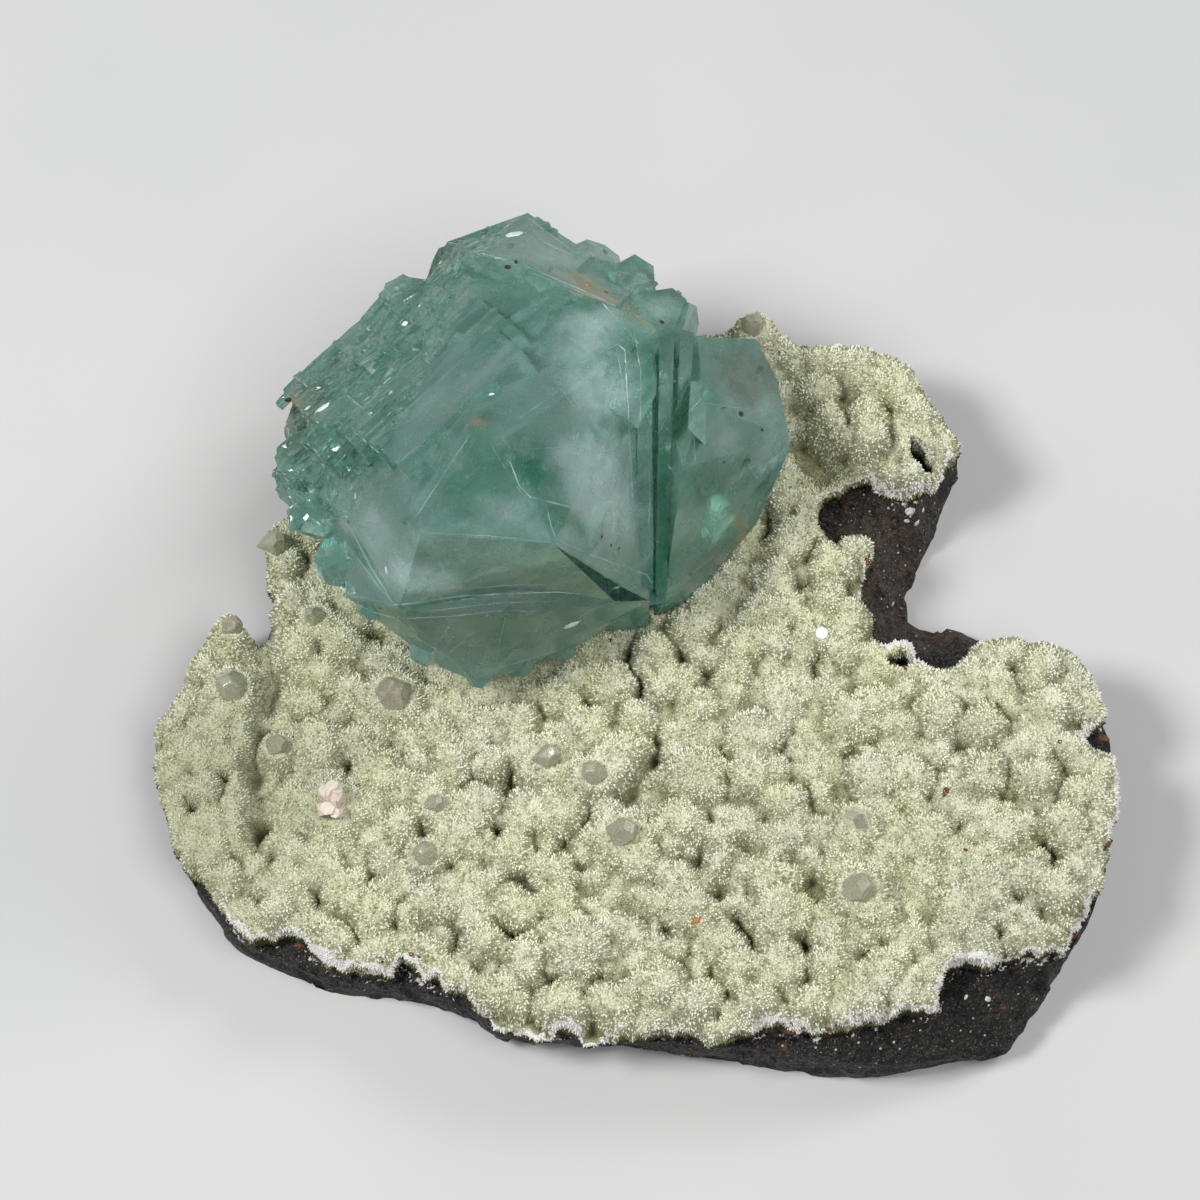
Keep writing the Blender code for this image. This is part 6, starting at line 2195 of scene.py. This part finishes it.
CHALK_SPECKS = [
    Speck(911, 511, 0.75, 0.5, 20), Speck(917, 523, 0.5, 0.3, 60), Speck(904, 504, 0.4, 0.3),
    Speck(923, 510, 0.35, 0.3), Speck(907, 521, 0.45, 0.3, -30), Speck(915, 502, 0.3, 0.2),
    Speck(989, 999, 0.5, 0.4), Speck(966, 997, 0.4, 0.2, 60), Speck(893, 604, 0.4, 0.12, 40),
    Speck(898, 553, 0.2, 0.15), Speck(884, 571, 0.2, 0.15), Speck(937, 1005, 0.3, 0.2),
]
# Painted highlights: small pale crumbs on the crystals that stand in for their glints.
GLINT_SPECKS = [
    Speck(572, 625, 1.05, 0.55, 10), Speck(515, 234, 1.2, 0.8, 20), Speck(322, 408, 1.3, 0.45, 10),
    Speck(404, 324, 0.5, 0.3, 40), Speck(420, 305, 0.5, 0.3, 40), Speck(491, 394, 0.4, 0.25),
    Speck(386, 570, 0.5, 0.25, 60), Speck(308, 408, 0.6, 0.3),
]


@dataclass(frozen=True)
class SpeckFinish:
    """Matt mineral of the rust-brown, orange, dark or chalk-white specks, or the smoother pale crumbs that
    are painted glints.
    """

    name: str
    colour: Colour
    shade: Colour
    rough: float = 0.7

    def material(self) -> Material:
        """Build the material.

        Returns:
            The material.
        """
        recipe = Recipe(self.name)
        mottle = recipe.noise(0.35, 3.0, 0.6)
        colour = recipe.blend(recipe.band(mottle, 0.4, 0.6), self.shade, self.colour)
        return recipe.finish(Base_Color=colour, Roughness=self.rough, Normal=recipe.bump(mottle, 0.1, 0.8))


# Each kind of speck: the piece's name, the places, the finish, the material slot and the flatness
SPECK_KINDS = [
    ("rust_specks", RUST_SPECKS, SpeckFinish("rust", (0.20, 0.075, 0.03), (0.07, 0.03, 0.02)), "basalt", 0.6),
    ("orange_specks", ORANGE_SPECKS, SpeckFinish("orange", (0.50, 0.22, 0.06), (0.32, 0.13, 0.04)),
     "druse", 0.6),
    ("dark_specks", DARK_SPECKS, SpeckFinish("dark_grain", (0.06, 0.035, 0.02), (0.02, 0.015, 0.01)),
     "basalt", 0.6),
    ("glint_specks", GLINT_SPECKS, SpeckFinish("painted_glint", (0.72, 0.80, 0.78), (0.52, 0.64, 0.62), 0.3),
     "flake", 0.35),
    ("chalk_specks", CHALK_SPECKS, SpeckFinish("chalk_grain", (0.72, 0.70, 0.66), (0.40, 0.38, 0.35), 0.9),
     "basalt", 0.8),
]


@dataclass
class Specks:
    """Small crumbs of other minerals, and pale crumbs that are painted glints, bedded in whatever the
    photograph shows them on.
    """

    grounds: list[Object]
    bedding: float = 0.35

    def __post_init__(self) -> None:
        """Keep a search tree of each ground."""
        self.trees = [tree_of(ground.data) for ground in self.grounds]

    def crumb(self, speck: Speck, seed: int, flat: float) -> BMesh | None:
        """One crumb, or nothing where the pixel's ray meets no ground.

        Args:
            speck: where it is and how large.
            seed: seed of its form.
            flat: its thickness as a share of its width.

        Returns:
            The crumb, or nothing.
        """
        start, ray = PhotoView.place(), PhotoView.ray(speck.u, speck.v)
        hits = [tree.ray_cast(start, ray) for tree in self.trees]
        hits = [hit for hit in hits if hit[0] is not None]
        if not hits:
            return None
        spot, normal, _, _ = min(hits, key=lambda hit: hit[3])
        right, up = PhotoView.axes()
        turn = Matrix.Rotation(math.radians(speck.turn), 3, PhotoView.back())
        across = turn @ right
        across = (across - normal * across.dot(normal)).normalized()
        along = normal.cross(across)
        bm = bmesh.new()
        bmesh.ops.create_icosphere(bm, subdivisions=3, radius=1.0)
        points = rows_of(v.co for v in bm.verts)
        swell = (1.0 + 0.28 * value_noise(points + 9.0 * seed, 0.7, seed)
                 + 0.14 * value_noise(points, 0.33, seed + 1))
        half = (speck.long, speck.short, flat * speck.short)
        for vertex, share in zip(bm.verts, swell):
            x, y, z = (vertex.co * float(share))[:]
            vertex.co = spot + (across * x * half[0] + along * y * half[1]
                                + normal * (z * half[2] - self.bedding * half[2])) * MM
        return bm

    def build(self, name: str, specks: Sequence[Speck], finish: SpeckFinish, slot: str,
              flat: float) -> Object:
        """The crumbs of one mineral as one piece.

        Args:
            name: the piece's name.
            specks: where they are and how large.
            finish: what they look like.
            slot: the material slot they belong to; not used.
            flat: their thickness as a share of their width.

        Returns:
            The new piece.
        """
        mesh = bpy.data.meshes.new(name)
        total = bmesh.new()
        for number, speck in enumerate(specks):
            crumb = self.crumb(speck, 301 + number, flat)
            if crumb is None:
                LOG.info("%s %d meets no ground", name, number)
                continue
            part = bpy.data.meshes.new("crumb")
            crumb.to_mesh(part)
            crumb.free()
            total.from_mesh(part)
            bpy.data.meshes.remove(part)
        bmesh.ops.recalc_face_normals(total, faces=total.faces)
        total.to_mesh(mesh)
        total.free()
        mesh.shade_smooth()
        return new_piece(name, mesh, finish.material())


@dataclass
class Studio:
    """Pale floor, two soft boxes and the camera."""

    floor_half: float = 1.6

    def floor(self) -> None:
        """The plain pale floor."""
        corners = np.array([(-1, -1, 0), (1, -1, 0), (1, 1, 0), (-1, 1, 0)]) * self.floor_half / MM
        mesh = mesh_from("floor", corners, [(0, 1, 2, 3)])
        floor = bpy.data.objects.new("floor", mesh)
        bpy.context.scene.collection.objects.link(floor)
        recipe = Recipe("floor_paint")
        soft = recipe.band(recipe.noise(60.0, 2.0), 0.3, 0.7)
        colour = recipe.blend(soft, (0.52, 0.52, 0.52), (0.55, 0.55, 0.54))
        mesh.materials.append(recipe.finish(Base_Color=colour, Roughness=0.7))

    def lamp(self, name: str, place: Sequence[float], size: float, power: float, glints: bool = True) -> None:
        """A soft box that faces the specimen, and is mirrored in it or not.

        Args:
            name: its name.
            place: where it stands, in metres.
            size: its width in metres.
            power: its watts.
            glints: whether the specimen mirrors it.
        """
        light = bpy.data.lights.new(name, "AREA")
        light.size = size
        light.energy = power
        lamp = bpy.data.objects.new(name, light)
        bpy.context.scene.collection.objects.link(lamp)
        lamp.location = place
        lamp.visible_glossy = glints
        lamp.visible_transmission = glints
        lamp.rotation_euler = (PhotoView.AIM - Vector(place)).to_track_quat("-Z", "Y").to_euler()

    def camera(self) -> None:
        """The camera at the photograph's viewing angle."""
        data = bpy.data.cameras.new("camera")
        data.sensor_width = PhotoView.SENSOR
        data.lens = PhotoView.SENSOR * PhotoView.DISTANCE / (PhotoView.FRAME_PIXELS * PhotoView.PIXEL_AT_AIM)
        camera = bpy.data.objects.new("camera", data)
        bpy.context.scene.collection.objects.link(camera)
        camera.location = PhotoView.place()
        camera.rotation_euler = (-PhotoView.back()).to_track_quat("-Z", "Y").to_euler()
        bpy.context.scene.camera = camera

    def build(self) -> None:
        """Set up the stage."""
        self.floor()
        self.lamp("left_box", (-0.46, -0.06, 0.66), 0.22, 5.0)
        self.lamp("right_box", (0.55, 0.34, 0.50), 0.26, 2.4)
        self.lamp("top_fill", (0.26, -0.24, 0.78), 0.45, 3.4, glints=False)
        world = bpy.data.worlds.new("studio")
        world.use_nodes = True
        ground = world.node_tree.nodes["Background"]
        ground.inputs["Color"].default_value = (0.9, 0.95, 1.0, 1.0)
        ground.inputs["Strength"].default_value = 0.14
        bpy.context.scene.world = world
        self.camera()


def main() -> None:
    """Build the stage and every piece."""
    logging.basicConfig(level=logging.INFO, format="%(message)s")
    Studio().build()
    crust = DruseCrust(CrustPlan())
    skin = crust.skin()
    crust.grains(skin)
    stone = BasaltSlab(crust.plan).build()
    ball = ApophylliteBall()
    crystals = ball.build()
    ball.veils()
    ball.growth_highlight_lines()
    SmallCrystals().build()
    specks = Specks([skin, stone, crystals])
    for name, places, finish, slot, flat in SPECK_KINDS:
        specks.build(name, places, finish, slot, flat)
    bpy.context.scene.view_settings.view_transform = "Standard"


if __name__ == "__main__":
    main()
